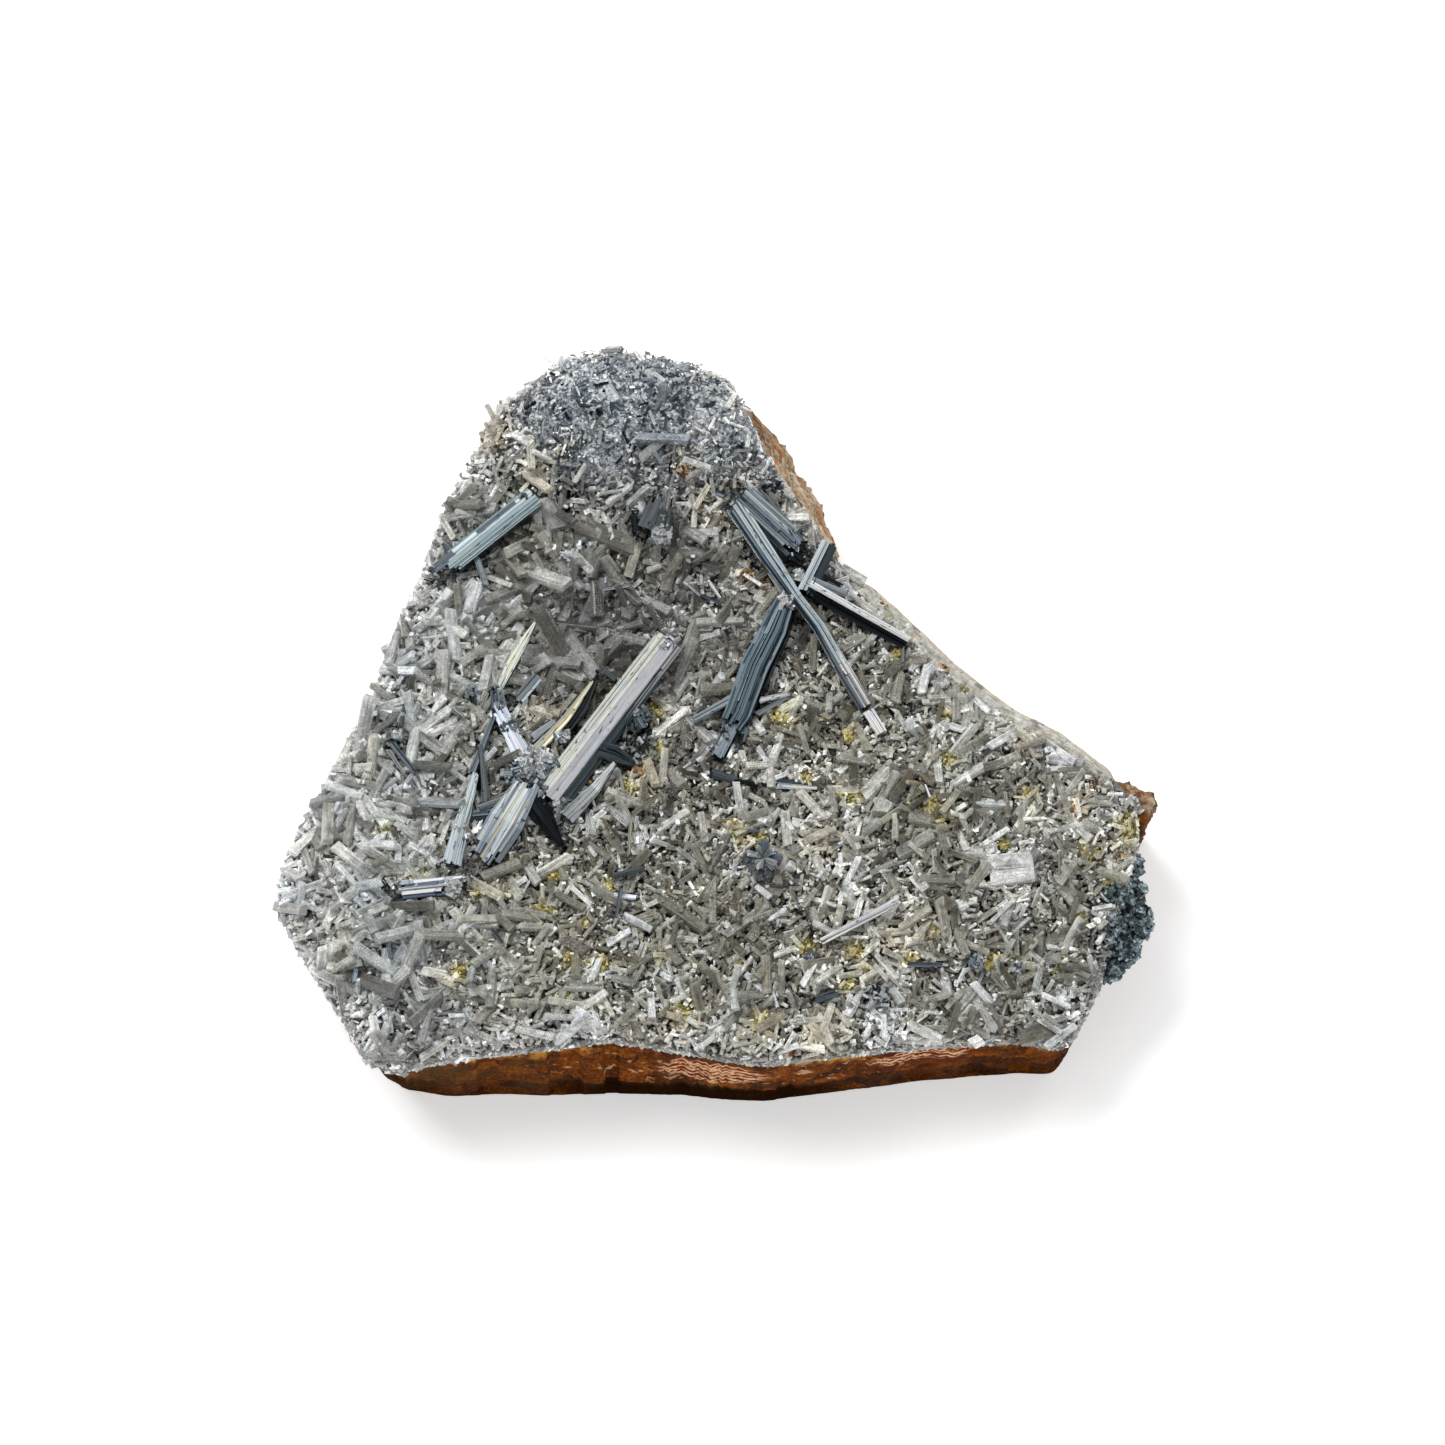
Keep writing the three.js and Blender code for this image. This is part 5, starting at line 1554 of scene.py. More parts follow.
    def strewn(self, rng: np.random.Generator) -> LathBatch:
        """The laths that the solids strew over the crust, in the same places.

        Args:
            rng: The draw of their colours.

        Returns:
            The laths.
        """
        index = np.arange(4 * self.strewn_count)
        x = np.array([between(i + 0.5, -58, 57) for i in index])
        y = -51 + 101 * ((index * GOLDEN_SHARE) % 1.0)
        kept = self.slab.inside(x, y)
        index, x, y = (values[kept][: self.strewn_count] for values in (index, x, y))
        draw = {key: np.array([chance(i * key) for i in index]) for key in (7, 11, 17, 23, 29, 31)}
        hollow = bump(x, y, (-18, 10), (24, 16))
        turn, tilt = draw[7] * FULL_TURN, 0.1 + 0.65 * draw[11]
        along = np.stack([np.cos(turn) * np.cos(tilt), np.sin(turn) * np.cos(tilt), np.sin(tilt)], axis=1)
        distance = self.slab.nearest(x, y)[0]
        return LathBatch(
            np.stack([x, y, self.slab.crust_top(x, y, distance) + 0.2], axis=1), along, -0.6 + 1.2 * draw[31],
            3.6 + 1.8 * draw[17] + 2 * hollow, 1.1 + 0.6 * draw[23] + 0.4 * hollow, 0.7 + 0.4 * draw[29],
            self.colours.draw(x, y, distance, 0.0, rng),
        )

    def scatter(self, layer: Layer, seed: int) -> None:
        """Scatters one size of lath over the crust.

        Args:
            layer: The size.
            seed: Seed of the draw.
        """
        rng = np.random.default_rng(seed)
        x, y = self.slab.strew(rng, layer.count)
        wanted = 1.0 - layer.knob_thinning * self.slab.knob(x, y)
        if layer.zoned:
            wanted = wanted * np.maximum(self.slab.hollow(x, y), 0.6 * self.slab.left(x, y))
        kept = rng.random(len(x)) < wanted
        x, y = x[kept], y[kept]
        count = len(x)
        distance, number = self.slab.nearest(x, y)
        normal = self.slab.normal(x, y, distance, number)
        hollow, knob = self.slab.hollow(x, y), self.slab.knob(x, y)
        growth = 1.0 + self.hollow_growth * hollow - layer.knob_shrink * knob
        growth = growth + self.left_growth * smooth(-x, 20, 45)
        length = rng.uniform(*layer.length, count) * growth
        width = length * rng.uniform(*layer.breadth, count)
        spin = rng.uniform(0, FULL_TURN, count)
        tilt = np.clip(np.abs(rng.normal(0.0, layer.tilt, count)), 0.0, self.steepest)
        ahead = unit(np.cross(normal, np.stack([np.cos(spin), np.sin(spin), 0 * spin], axis=1)))
        along = ahead * np.cos(tilt)[:, None] + normal * np.sin(tilt)[:, None]
        outward = self.slab.outward[number]
        reach = 0.5 * length * np.abs((along[:, :2] * outward).sum(axis=1)) + 0.5 * width
        overhang = self.overhang * (1.0 - self.front_cut * self.slab.front(y))
        overhang = overhang - self.rind_gap * self.slab.rind(x, y)
        shift = np.maximum(0.0, reach - overhang - distance)
        x, y = x - outward[:, 0] * shift, y - outward[:, 1] * shift
        distance = distance + shift
        place = np.column_stack([x, y, self.slab.crust_top(x, y, distance)])
        level = rng.random(count)
        stack = layer.stack[0] + (layer.stack[1] - layer.stack[0]) * level
        covered = self.covered(x, y, 0.5 * layer.breadth[0] * layer.length[0])
        stack = np.where(covered, np.minimum(stack, -0.35) - 0.2 * length, stack)
        rise = 0.5 * length * np.sin(tilt) * rng.uniform(0.2, 0.8, count) * ~covered + stack
        # Painted shade with dirt: laths low in the stack, and those tucked under the stibnite pieces, are
        # drawn darker.
        shade = np.interp(stack, (-0.55, 0.35), (0.0, 1.0))
        middle = place + normal * rise[:, None]
        middle[:, 2] -= np.maximum(0.0, middle[:, 2] + 0.5 * length * np.abs(along[:, 2]) - self.highest)
        batch = LathBatch(
            middle, along, rng.uniform(-0.7, 0.7, count), length, width,
            width * rng.uniform(0.35, 0.75, count),
            self.colours.draw(x, y, distance, layer.fineness, rng, shade),
        )
        roughness, mottle = 0.12 + 0.1 * layer.fineness, 0.3 + 0.65 * layer.fineness
        finish = BariteFinish(layer.name + "_barite", layer.clearness, roughness, mottle=mottle)
        pile = batch.heap(Pile("crust_" + layer.name), layer.form, seed)
        settle(pile.make(), finish.make(), "barite", "barite_crust")

    @staticmethod
    def covered(x: Array, y: Array, margin: float) -> Array:
        """Whether places lie under a stibnite piece.

        Args:
            x: Places along X.
            y: Places along Y.
            margin: How far beside it still counts.

        Returns:
            A truth value for each place.
        """
        under = np.hypot(x - Rosette.at[0], y - Rosette.at[1]) < 2.2 + margin
        for blade in chain(*CLUSTERS.values()):
            for start, stop in zip(blade.path[:-1], blade.path[1:]):
                under |= segment_gap(x, y, seen(*start[:3]), seen(*stop[:3])) < 0.5 * start[3] + margin
        for x0, y0, x1, y1, width, _ in SMALL_NEEDLES:
            under |= segment_gap(x, y, (x0, y0), (x1, y1)) < 0.5 * width + margin
        return under

    def side(self, seed: int) -> None:
        """Covers the crust's side with grains and stubby laths.

        Args:
            seed: Seed of the draw.
        """
        rng = np.random.default_rng(seed)
        number = rng.integers(0, len(self.slab.rim), self.side_count)
        number = number[self.slab.rind(*self.slab.rim[number].T) < 0.5]
        count = len(number)
        rim, outward = self.slab.rim[number], self.slab.outward[number]
        top = self.slab.crust_top(rim[:, 0], rim[:, 1], np.zeros(count)) - 0.3
        foot = self.slab.rock_top(rim[:, 0], rim[:, 1])
        share = 0.08 + 0.92 * rng.random(count) ** 0.8
        height = foot + (top - foot) * share
        left = self.slab.left(rim[:, 0], rim[:, 1])
        length = rng.uniform(*self.side_lengths, count) * (1.0 + 0.9 * left * share)
        width = length * rng.uniform(*self.side_widths, count)
        face = np.column_stack([outward, np.full(count, 0.25)])
        free = unit(rng.normal(0, 1, (count, 3)))
        along = unit(free - 0.75 * face * (free * face).sum(axis=1)[:, None])
        reach = np.abs((along[:, :2] * outward).sum(axis=1)) * 0.5 * length
        front = self.slab.front(rim[:, 1])
        inset = np.maximum(reach - self.overhang * (1.0 - self.front_cut * front), 0.05)
        place = np.column_stack([rim - outward * inset[:, None], height])
        tint = self.colours.draw(rim[:, 0], rim[:, 1], np.zeros(count), 0.7, rng)
        # Painted shade: grains low on the crust's side are darker, less so at the front. Each also has a
        # random tone.
        least = 0.2 + 0.5 * front
        light = rng.uniform(0.35, 1.15, count) * (least + (1 - least) * smooth(share, 0.05, 0.5))
        tint[:, :3] *= light[:, None]
        batch = LathBatch(place, along, rng.uniform(-1.4, 1.4, count), length, width, width * 0.7, tint)
        pile = batch.heap(Pile("crust_side_grains"), Form.GRAIN, seed)
        settle(pile.make(), BariteFinish("side_barite", 0.15, 0.3).make(), "barite", "barite_crust")


@dataclass(frozen=True)
class Blade:
    """One stibnite prism, made of strands that lie side by side."""

    path: tuple
    depth: float
    roll: float = 0.0
    metal: Metal = Metal.STEEL
    near: End = End.BROKEN
    far: End = End.BROKEN
    strand: float = 0.36
    ridged: float = 0.08
    chipped: float = 0.2
    film: float = 0.15
    planes: tuple = ()
    # Colour factor of each plane: partly its own tarnish, partly painted light, the brightest planes standing
    # for highlights and the darkest for shaded sides and grooves.
    tones: tuple = ((1.0, 1.0, 1.0),)
    end_bits: ClassVar[int] = 14
    lightest: ClassVar[float] = 0.96
    edge_height: ClassVar[float] = 0.86
    overlap: ClassVar[float] = 0.02
    chip_depths: ClassVar[tuple] = (0.05, 0.22)
    strand_widths: ClassVar[tuple] = (0.4, 1.7)

    def cuts(self, widest: float, rng: np.random.Generator) -> list[tuple]:
        """Where the strands lie across the prism.

        Args:
            widest: The prism's greatest width.
            rng: The draw.

        Returns:
            Right edge, left edge, drop in millimetres and tilt of each strand.
        """
        if self.planes:
            edges = [-0.5] + [plane[0] for plane in self.planes]
            return [(right, *plane) for right, plane in zip(edges, self.planes)]
        count = max(3, round(widest / self.strand))
        edges = np.concatenate([[0.0], np.cumsum(rng.uniform(*self.strand_widths, count))])
        edges = edges / edges[-1] - 0.5
        fall = np.abs(edges[:-1] + edges[1:]) ** 4 * 0.22 * self.depth
        drop = fall + rng.normal(0.0, 0.03 * self.depth, count)
        return list(zip(edges[:-1], edges[1:], drop, rng.normal(0.0, self.ridged, count)))

    def strands(self, pile: Pile, seed: int) -> None:
        """Adds the prism's strands to a pile.

        Args:
            pile: Where they go.
            seed: Seed of their differences.
        """
        rng = np.random.default_rng(seed)
        stations = np.array([[*seen(x, y, z), w] for x, y, z, w in self.path])
        places, widths = stations[:, :3], stations[:, 3]
        lengths = np.concatenate([[0.0], np.cumsum(np.linalg.norm(np.diff(places, axis=0), axis=1))])
        axis = unit(places[-1] - places[0])
        level = unit(np.cross(SKYWARD, axis))
        raised = np.cross(axis, level)
        side = level * math.cos(self.roll) + raised * math.sin(self.roll)
        up = np.cross(axis, side)
        whole = float(lengths[-1])
        for number, (right, left, fallen, tilt) in enumerate(self.cuts(float(widths.max()), rng)):
            middle = 0.5 * (left + right)
            ends = np.array([self.near.value, self.far.value]) * rng.random(2)
            first, last = min(ends[0], 0.4 * whole), whole - min(ends[1], 0.4 * whole)
            chip = rng.uniform(0.1, 0.9) * whole
            at = np.unique(np.clip(np.concatenate([lengths, [chip, chip + 0.1]]), first, last))
            line = np.column_stack([np.interp(at, lengths, places[:, k]) for k in range(3)])
            wide = np.interp(at, lengths, widths)
            drop = self.depth * rng.uniform(*self.chip_depths) * (rng.random() < self.chipped)
            toward = at > chip if rng.random() < 0.5 else at <= chip
            top = 0.5 * self.depth - fallen - drop * toward
            bottom = np.full(len(at), -self.depth * (0.5 - 0.44 * middle**2))
            mark = np.full(len(at), seed * 3.7 + number * 0.61)
            edge = self.edge_height
            profile = (
                (right, 0), (right, edge), (right - 0.01, 1), (left + 0.01, 1), (left, edge), (left, 0),
            )
            ring, marks = [], []
            for share, height in profile:
                lift = bottom + (top - bottom) * height + (height > 0) * tilt * (share - middle) * wide
                spread = share * wide + self.overlap * np.sign(share - middle)
                ring.append(line + side * spread[:, None] + up * lift[:, None])
                marks.append(np.column_stack([share * wide, at, mark]))
            # Painted shade: a strand that lies well below the top is a quarter darker. Each strand also has a
            # random tone and its plane's tone, which carries painted light.
            shade = rng.uniform(1.0 - min(0.55, 3.0 * self.ridged), 1.15) * (0.75 if fallen > 0.4 else 1.0)
            tone = np.array(self.tones[number % len(self.tones)])
            colour = np.minimum(np.array(self.metal.value) * shade * tone, self.lightest)
            tint = np.array([[*colour, self.film]])
            pile.add_rings(np.stack(ring, axis=1)[None], tint, np.stack(marks, axis=1)[None])
        for end, way in ((self.near, 0), (self.far, -1)):
            if end in {End.RAGGED, End.SPLINTERED}:
                reach = 0.45 * widths[way]
                middle = places[way] + up * 0.3 * self.depth
                crumbs(pile, middle, (reach, reach, 0.4 * self.depth), self.end_bits, self.metal, rng)


def crumbs(
    pile: Pile, middle: Array, reach: Sequence[float], count: int, metal: Metal, rng: np.random.Generator,
    sizes: tuple = (0.12, 0.55),
) -> None:
    """Adds a clump of small broken bits of stibnite.

    Args:
        pile: Where they go.
        middle: The clump's middle.
        reach: Its reach along X, Y and Z.
        count: How many bits.
        metal: Their main colour.
        rng: The draw.
        sizes: The smallest and largest bit.
    """
    farthest = 0.85
    place = middle + np.clip(rng.normal(0.0, 0.5, (count, 3)), -farthest, farthest) * np.array(reach)
    size = rng.uniform(*sizes, count)
    others = np.array([value.value for value in (metal, metal, Metal.SILVER, Metal.STEEL)])
    tint = np.column_stack([others[rng.integers(0, 4, count)], np.zeros(count)])
    along = unit(rng.normal(0, 1, (count, 3)))
    batch = LathBatch(place, along, rng.uniform(-1.5, 1.5, count), 1.5 * size, size, 0.6 * size, tint)
    batch.heap(pile, Form.GRAIN, count)


CENTRE_CLUSTER = (
    Blade(((-24, -14.9, 20.2, 4.1), (-7.2, 8.4, 21.7, 4.1)), 2.5, 0.08, Metal.SILVER, End.RAGGED,
          End.BROKEN, film=0.45, ridged=0.03, planes=((-0.42, 0.75, 0.0), (-0.37, 0.3, 0.1), (-0.34, 0.6,
          0.0), (0.08, 0.0, 0.0), (0.11, 0.08, 0.0), (0.5, 0.02, -0.12)), tones=((0.62, 0.61, 0.66), (0.98,
          0.95, 0.99), (0.28, 0.28, 0.33), (0.8, 0.785, 0.845), (0.45, 0.45, 0.48), (0.95, 0.95, 0.88))),
    Blade(((-21.6, -15, 20, 1.6), (-8.9, 3, 20.8, 1.2)), 1.9, 0.3, Metal.TEAL),
    Blade(((-26.4, -12.4, 21.3, 3.2), (-29.6, -18.2, 21, 5), (-33, -24.2, 20.3, 4.4)), 2.4, 0.0,
          Metal.SILVER, End.RAGGED, End.SPLINTERED, strand=0.5, ridged=0.06, chipped=0.5, film=0.5,
          tones=((0.62, 0.7, 0.8), (1.05, 1.08, 1.1), (0.5, 0.57, 0.66), (0.95, 0.98, 1.0), (1.15, 1.08,
          0.9), (0.8, 0.86, 0.95), (1.0, 1.02, 1.02))),
    Blade(((-33.6, -16.2, 20.8, 0.8), (-28, -13.8, 21.3, 1.7)), 1.3, 0.2, Metal.STEEL, ridged=0.12),
    Blade(((-29, -11.6, 20.6, 3.2), (-23.6, -9.8, 21.2, 2.8)), 2.6, 0.4, Metal.BLUE, End.SPLINTERED,
          End.SPLINTERED, strand=0.5, ridged=0.3, chipped=0.8),
    Blade(((-33.7, -11, 21.3, 0.7), (-35.4, -17.5, 21, 1.8), (-37, -24.4, 20.5, 2.6)), 1.2, 0.05,
          Metal.SILVER, ridged=0.03, film=0.3, tones=((0.75, 0.85, 0.92), (0.98, 1.06, 1.08), (0.6, 0.7,
          0.8), (0.9, 1.0, 1.0))),
    Blade(((-33.4, -7, 21.6, 0.5), (-32.5, -15.8, 20.6, 1.3)), 1.4, -0.4, Metal.STEEL, ridged=0.12),
    Blade(((-31.3, -2.8, 21.9, 0.6), (-34.4, -11.4, 21, 1)), 0.9, 0.3, Metal.BLUE),
    Blade(((-35, -17.5, 19.9, 1.6), (-30.6, -17, 20.2, 2.2)), 2, 0, Metal.TEAL, ridged=0.2),
    Blade(((-31, -1.2, 21.3, 1.9), (-26.6, -10.2, 21.7, 2.6)), 1.6, 0.05, Metal.BRIGHT, End.RAGGED,
          End.RAGGED, ridged=0.08, chipped=0.7, film=0.2, tones=((0.8, 0.86, 0.95), (1.0, 1.0, 1.0), (0.5,
          0.58, 0.7))),
    Blade(((-17.8, 2.4, 20.8, 0.4), (-21.5, -3.2, 21.1, 1.2), (-26, -8.4, 21.2, 1.5)), 1.1, 0.1,
          Metal.STRAW, ridged=0.1, chipped=0.7, film=0.4, tones=((0.8, 0.84, 0.9), (1.2, 1.2, 1.15), (1.35,
          1.3, 1.15))),
    Blade(((-17, 3.8, 20.2, 0.5), (-19.4, -1.5, 20.5, 1.9), (-22.4, -6, 20.6, 1.4)), 1.4, 0.1, Metal.BLACK,
          End.SPLINTERED, ridged=0.25, chipped=0.8),
    Blade(((-22.8, -3.3, 21, 0.6), (-26.4, -6.2, 20.9, 1.2)), 0.9, 0, Metal.STEEL),
    Blade(((-25.8, 11, 21.6, 0.25), (-27.2, 8.4, 21.5, 1), (-29.2, 4.6, 21.2, 1.3), (-31.2, 0.2, 20.9,
          0.8)), 0.7, 0.25, Metal.SILVER, End.CLEAN, film=0.6, ridged=0.08, chipped=0.7, tones=((1.1, 1.08,
          0.9), (0.85, 0.92, 1.0))),
    Blade(((-26.6, 9.6, 21.3, 0.4), (-29, 4, 20.9, 0.5), (-31, 0.4, 20.7, 0.6)), 0.9, -0.3, Metal.BLACK),
    Blade(((-30.4, -3.6, 20.3, 2.4), (-31.2, 1.2, 20.4, 1.6)), 2.2, 0, Metal.BLUE, End.RAGGED, End.RAGGED,
          ridged=0.3),
    Blade(((-28.4, -0.6, 20.3, 1.6), (-25.2, 3.4, 20.9, 1.4)), 1.4, 0.2, Metal.PEWTER, ridged=0.2,
          film=0.4),
    Blade(((-23.4, -9.6, 21.2, 1), (-26, -12.8, 21.4, 2)), 1.4, -0.1, Metal.BLUE, End.RAGGED, ridged=0.15,
          film=0.5),
    Blade(((-27.2, -13.4, 20.9, 3.4), (-24.6, -17.2, 20.6, 3), (-21.8, -21.7, 20, 0.5)), 2.2, 0.2,
          Metal.BLACK, ridged=0.12),
    Blade(((-14.7, -9.6, 22.2, 0.5), (-17.4, -13.4, 21.6, 1.5), (-21.3, -17.6, 20.4, 2.3)), 1.4, 0.02,
          Metal.BRIGHT, End.CLEAN, End.CLEAN, strand=0.2, ridged=0.03, chipped=0.0, film=0.0, tones=((0.9,
          1.0, 1.0), (1.1, 1.16, 1.16), (0.6, 0.7, 0.72), (1.05, 1.12, 1.12))),
    Blade(((-22.8, -15.4, 20, 2.6), (-19.4, -16.6, 19.8, 1.6)), 2.2, 0, Metal.TEAL, ridged=0.2),
    Blade(((-18.6, -7.2, 20.4, 1.8), (-14.8, -8.4, 20.6, 2.4), (-12.1, -9.9, 20.4, 0.8)), 1.8, 0,
          Metal.TEAL, ridged=0.25),
    Blade(((-13.4, -0.2, 20.2, 2), (-10.6, -5, 20.1, 1.2)), 2, 0, Metal.TEAL, ridged=0.25),
)

RIGHT_CLUSTER = (
    Blade(((2, 30, 22.8, 3.7), (10.4, 21.7, 21.9, 4.2)), 3, -0.15, Metal.STEEL, End.RAGGED, End.SPLINTERED,
          strand=0.42, ridged=0.08, chipped=0.5, tones=((0.75, 0.82, 0.88), (1.3, 1.36, 1.36), (0.9, 0.97,
          1.0), (1.2, 1.2, 1.15), (0.5, 0.56, 0.62))),
    Blade(((4.6, 30.4, 22.6, 1.4), (11, 22.6, 22, 1.1)), 1.6, 0, Metal.BLUE, ridged=0.12),
    Blade(((8.6, 22.8, 21.6, 1.6), (11.4, 19.8, 21.3, 2.2)), 1.8, 0, Metal.BLACK, End.RAGGED, End.RAGGED,
          ridged=0.3, chipped=0.7),
    Blade(((1.4, 28.6, 23.2, 2.6), (6.2, 20.8, 23, 2.4), (10.2, 14.6, 22.9, 1.6), (13.2, 10.4, 22.7, 1.7),
          (16.2, 4.8, 22.3, 1.9)), 1.3, 0.1, Metal.PEWTER, End.RAGGED, chipped=0.5, film=0.3, ridged=0.16,
          planes=((-0.26, 0.3, -0.5), (-0.06, 0.05, 0.12), (0.1, 0.0, 0.0), (0.24, 0.12, -0.3), (0.5, 0.0,
          0.1)), tones=((0.95, 0.98, 1.02), (0.4, 0.46, 0.52), (1.6, 1.6, 1.6), (0.5, 0.56, 0.62), (1.3,
          1.35, 1.36))),
    Blade(((5.6, 20.6, 22.4, 1.3), (9.8, 13.4, 22.2, 1)), 1, 0.3, Metal.STEEL, End.SPLINTERED, End.RAGGED,
          ridged=0.15, chipped=0.7, film=0.3),
    Blade(((15.2, 6.6, 22.3, 1.9), (17.1, 3.2, 22.2, 2), (19.8, -1.7, 22, 1.8)), 1.3, 0.1, Metal.BRIGHT,
          chipped=0.6, film=0.35, ridged=0.25, planes=((-0.3, 0.3, -0.4), (-0.12, 0.04, 0.1), (0.04, 0.1,
          -0.2), (0.2, 0.0, 0.12), (0.5, 0.03, 0.05)), tones=((0.85, 0.9, 0.95), (0.3, 0.35, 0.4), (1.0,
          1.0, 1.0), (0.45, 0.5, 0.56), (1.0, 1.0, 1.0))),
    Blade(((20, -2, 21.9, 1.5), (21.9, -5.3, 21.8, 1.4)), 1.1, 0.0, Metal.BRIGHT, End.BROKEN, End.CLEAN,
          strand=0.6, ridged=0.03, chipped=0.0, film=0.25),
    Blade(((9, 14.2, 21.2, 2.7), (7.2, 9.6, 21.2, 3.9), (4.7, 4.3, 21, 4.2), (2.3, -2.6, 20.6, 3.8), (1, -5,
          20.4, 3.2)), 2.8, 0.15, Metal.TEAL, End.CLEAN, End.SPLINTERED, strand=0.34, ridged=0.16,
          chipped=0.7, tones=((1.5, 1.6, 1.65), (0.5, 0.56, 0.62), (1.1, 1.16, 1.2), (2.3, 2.4, 2.4), (0.35,
          0.4, 0.45), (1.3, 1.36, 1.4), (0.9, 0.95, 1.0))),
    Blade(((8.6, 14.6, 21.6, 0.8), (5.8, 9.9, 21.9, 1.1), (2.9, 3.6, 21.8, 1.2), (1.1, -2.6, 21.3, 0.8)),
          0.9, 0.35, Metal.BLUE, ridged=0.1, chipped=0.5),
    Blade(((1.6, -3.4, 20.5, 2.2), (-0.8, -8.9, 20.3, 1.7)), 1.4, 0.1, Metal.BLUE, ridged=0.06),
    Blade(((3.4, -2.6, 20.3, 1.5), (2.2, -7.4, 20.2, 1.1)), 1.2, 0, Metal.TEAL, End.BROKEN, End.SPLINTERED),
    Blade(((14.5, 23.1, 22.2, 1.1), (10.9, 15.4, 21.9, 1.2)), 1.1, 0.15, Metal.STEEL, ridged=0.08),
    Blade(((15.4, 22.6, 21.9, 1), (11.9, 14.9, 21.5, 1)), 1.4, -0.3, Metal.TEAL, ridged=0.08),
    Blade(((10.7, 17.6, 21.9, 0.9), (25.8, 8.4, 22.1, 0.8)), 1, 0.12, Metal.BRIGHT, End.BROKEN, End.CLEAN,
          strand=0.4, ridged=0.04, chipped=0.0, film=0.0, tones=((0.92, 1.02, 0.99),)),
    Blade(((10, 16.8, 21.3, 1.3), (25.3, 7.7, 21.4, 1)), 1.6, 0.7, Metal.BLACK, End.BROKEN, End.CLEAN,
          strand=0.4, ridged=0.12),
    Blade(((9.8, 18.4, 21.8, 1), (18.3, 14.6, 21.7, 0.8)), 1.2, 0.2, Metal.STEEL, ridged=0.1),
    Blade(((12.2, 19, 21.4, 0.5), (16.6, 16.4, 21.4, 0.5)), 0.9, 0.3, Metal.BLACK, ridged=0.2),
    Blade(((2.6, 0.4, 20.4, 1.3), (-4.2, -3.6, 20.8, 0.9)), 1, 0.2, Metal.STEEL, ridged=0.12),
    Blade(((4.4, -2.6, 20.5, 0.7), (9, 0.1, 20.8, 0.5)), 0.7, 0.2, Metal.STEEL),
    Blade(((4.6, -0.6, 20.8, 0.9), (9.3, 0.5, 20.9, 0.5)), 0.7, 0.1, Metal.SILVER),
)

UPPER_LEFT = (
    Blade(((-25.8, 29.6, 22.4, 3), (-38.6, 18.7, 20.3, 3.1)), 2.6, 0.02, Metal.PEWTER, End.BROKEN,
          End.SPLINTERED, strand=0.3, ridged=0.09, chipped=0.25, tones=((0.95, 1.05, 1.05), (1.3, 1.4, 1.4),
          (0.55, 0.63, 0.7), (1.5, 1.55, 1.55), (0.85, 0.95, 1.0))),
    Blade(((-27.4, 29.3, 22.6, 1.2), (-40.2, 18.4, 20.5, 1.1)), 1.6, 0, Metal.BLUE, End.RAGGED, End.RAGGED,
          ridged=0.12),
    Blade(((-34.8, 22.6, 20.6, 0.8), (-32.7, 16.4, 20, 0.8)), 0.8, 0, Metal.STEEL),
)

LOWER_LEFT = (
    Blade(((-44.9, -28.3, 20.2, 2.6), (-35.6, -27.3, 20.7, 2.4)), 2, 0.05, Metal.BRIGHT, End.SPLINTERED,
          End.SPLINTERED, strand=0.4, ridged=0.1, chipped=0.7, film=0.15, tones=((0.2, 0.25, 0.33), (0.95,
          0.97, 1.0), (0.45, 0.52, 0.62), (1.0, 1.0, 1.0), (0.22, 0.28, 0.36), (0.9, 0.94, 1.0))),
    Blade(((-42.4, -27.4, 20.8, 1.1), (-34.9, -26.5, 20.6, 0.8)), 1.3, 0, Metal.BRIGHT, ridged=0.15),
    Blade(((-44.7, -30.3, 19.8, 1), (-41.9, -29.3, 20.2, 1.2)), 1.3, 0, Metal.TEAL, ridged=0.15),
)

STEP_BLOCK = (
    Blade(((-8.6, 30, 23, 1.6), (-10.6, 25, 20.8, 2.8)), 2, 0.25, Metal.STEEL, End.RAGGED, End.BROKEN,
          strand=0.9, ridged=0.06, chipped=0.3),
    Blade(((-7.6, 30.4, 23.4, 0.8), (-8.2, 26.6, 21.9, 1.1)), 1.6, 0.1, Metal.SILVER, End.BROKEN,
          End.RAGGED),
    Blade(((-7.8, 29, 22.4, 2), (-8.8, 23.4, 20.4, 3.2)), 2.4, 0.05, Metal.STEEL, End.RAGGED,
          End.SPLINTERED, strand=0.5, ridged=0.3, chipped=0.7),
    Blade(((-12.2, 27.6, 21.4, 1.2), (-11.6, 23.8, 19.8, 1.6)), 2, 0, Metal.BLACK, End.RAGGED, End.RAGGED,
          ridged=0.3),
)

TWIN_NEEDLE = (
    Blade(((13.3, -35.2, 21.6, 0.4), (24, -29.3, 21, 0.75)), 0.5, 0.0, Metal.BRIGHT, End.CLEAN, End.BROKEN,
          strand=0.18, chipped=0.0),
    Blade(((13.5, -35.75, 21.3, 0.3), (22.6, -30.6, 20.6, 0.6)), 0.6, 0, Metal.BRIGHT, End.CLEAN,
          End.BROKEN, strand=0.18, chipped=0.0),
)

LOW_NEEDLE = (
    Blade(((-1.6, -11, 20.4, 1.3), (2, -12.2, 20.6, 1)), 1, 0.2, Metal.TEAL, ridged=0.2),
    Blade(((1.4, -12.1, 20.5, 0.5), (7.6, -13, 20.6, 0.4)), 0.6, 0.2, Metal.BLACK),
    Blade(((7.2, -12.9, 20.6, 0.8), (13, -13.3, 20.9, 0.4)), 0.7, 0, Metal.SILVER, End.BROKEN, End.CLEAN,
          film=0.6),
    Blade(((7.4, -12.3, 20.3, 0.9), (11, -12.6, 20.4, 0.4)), 0.7, 0, Metal.TEAL, ridged=0.3),
)

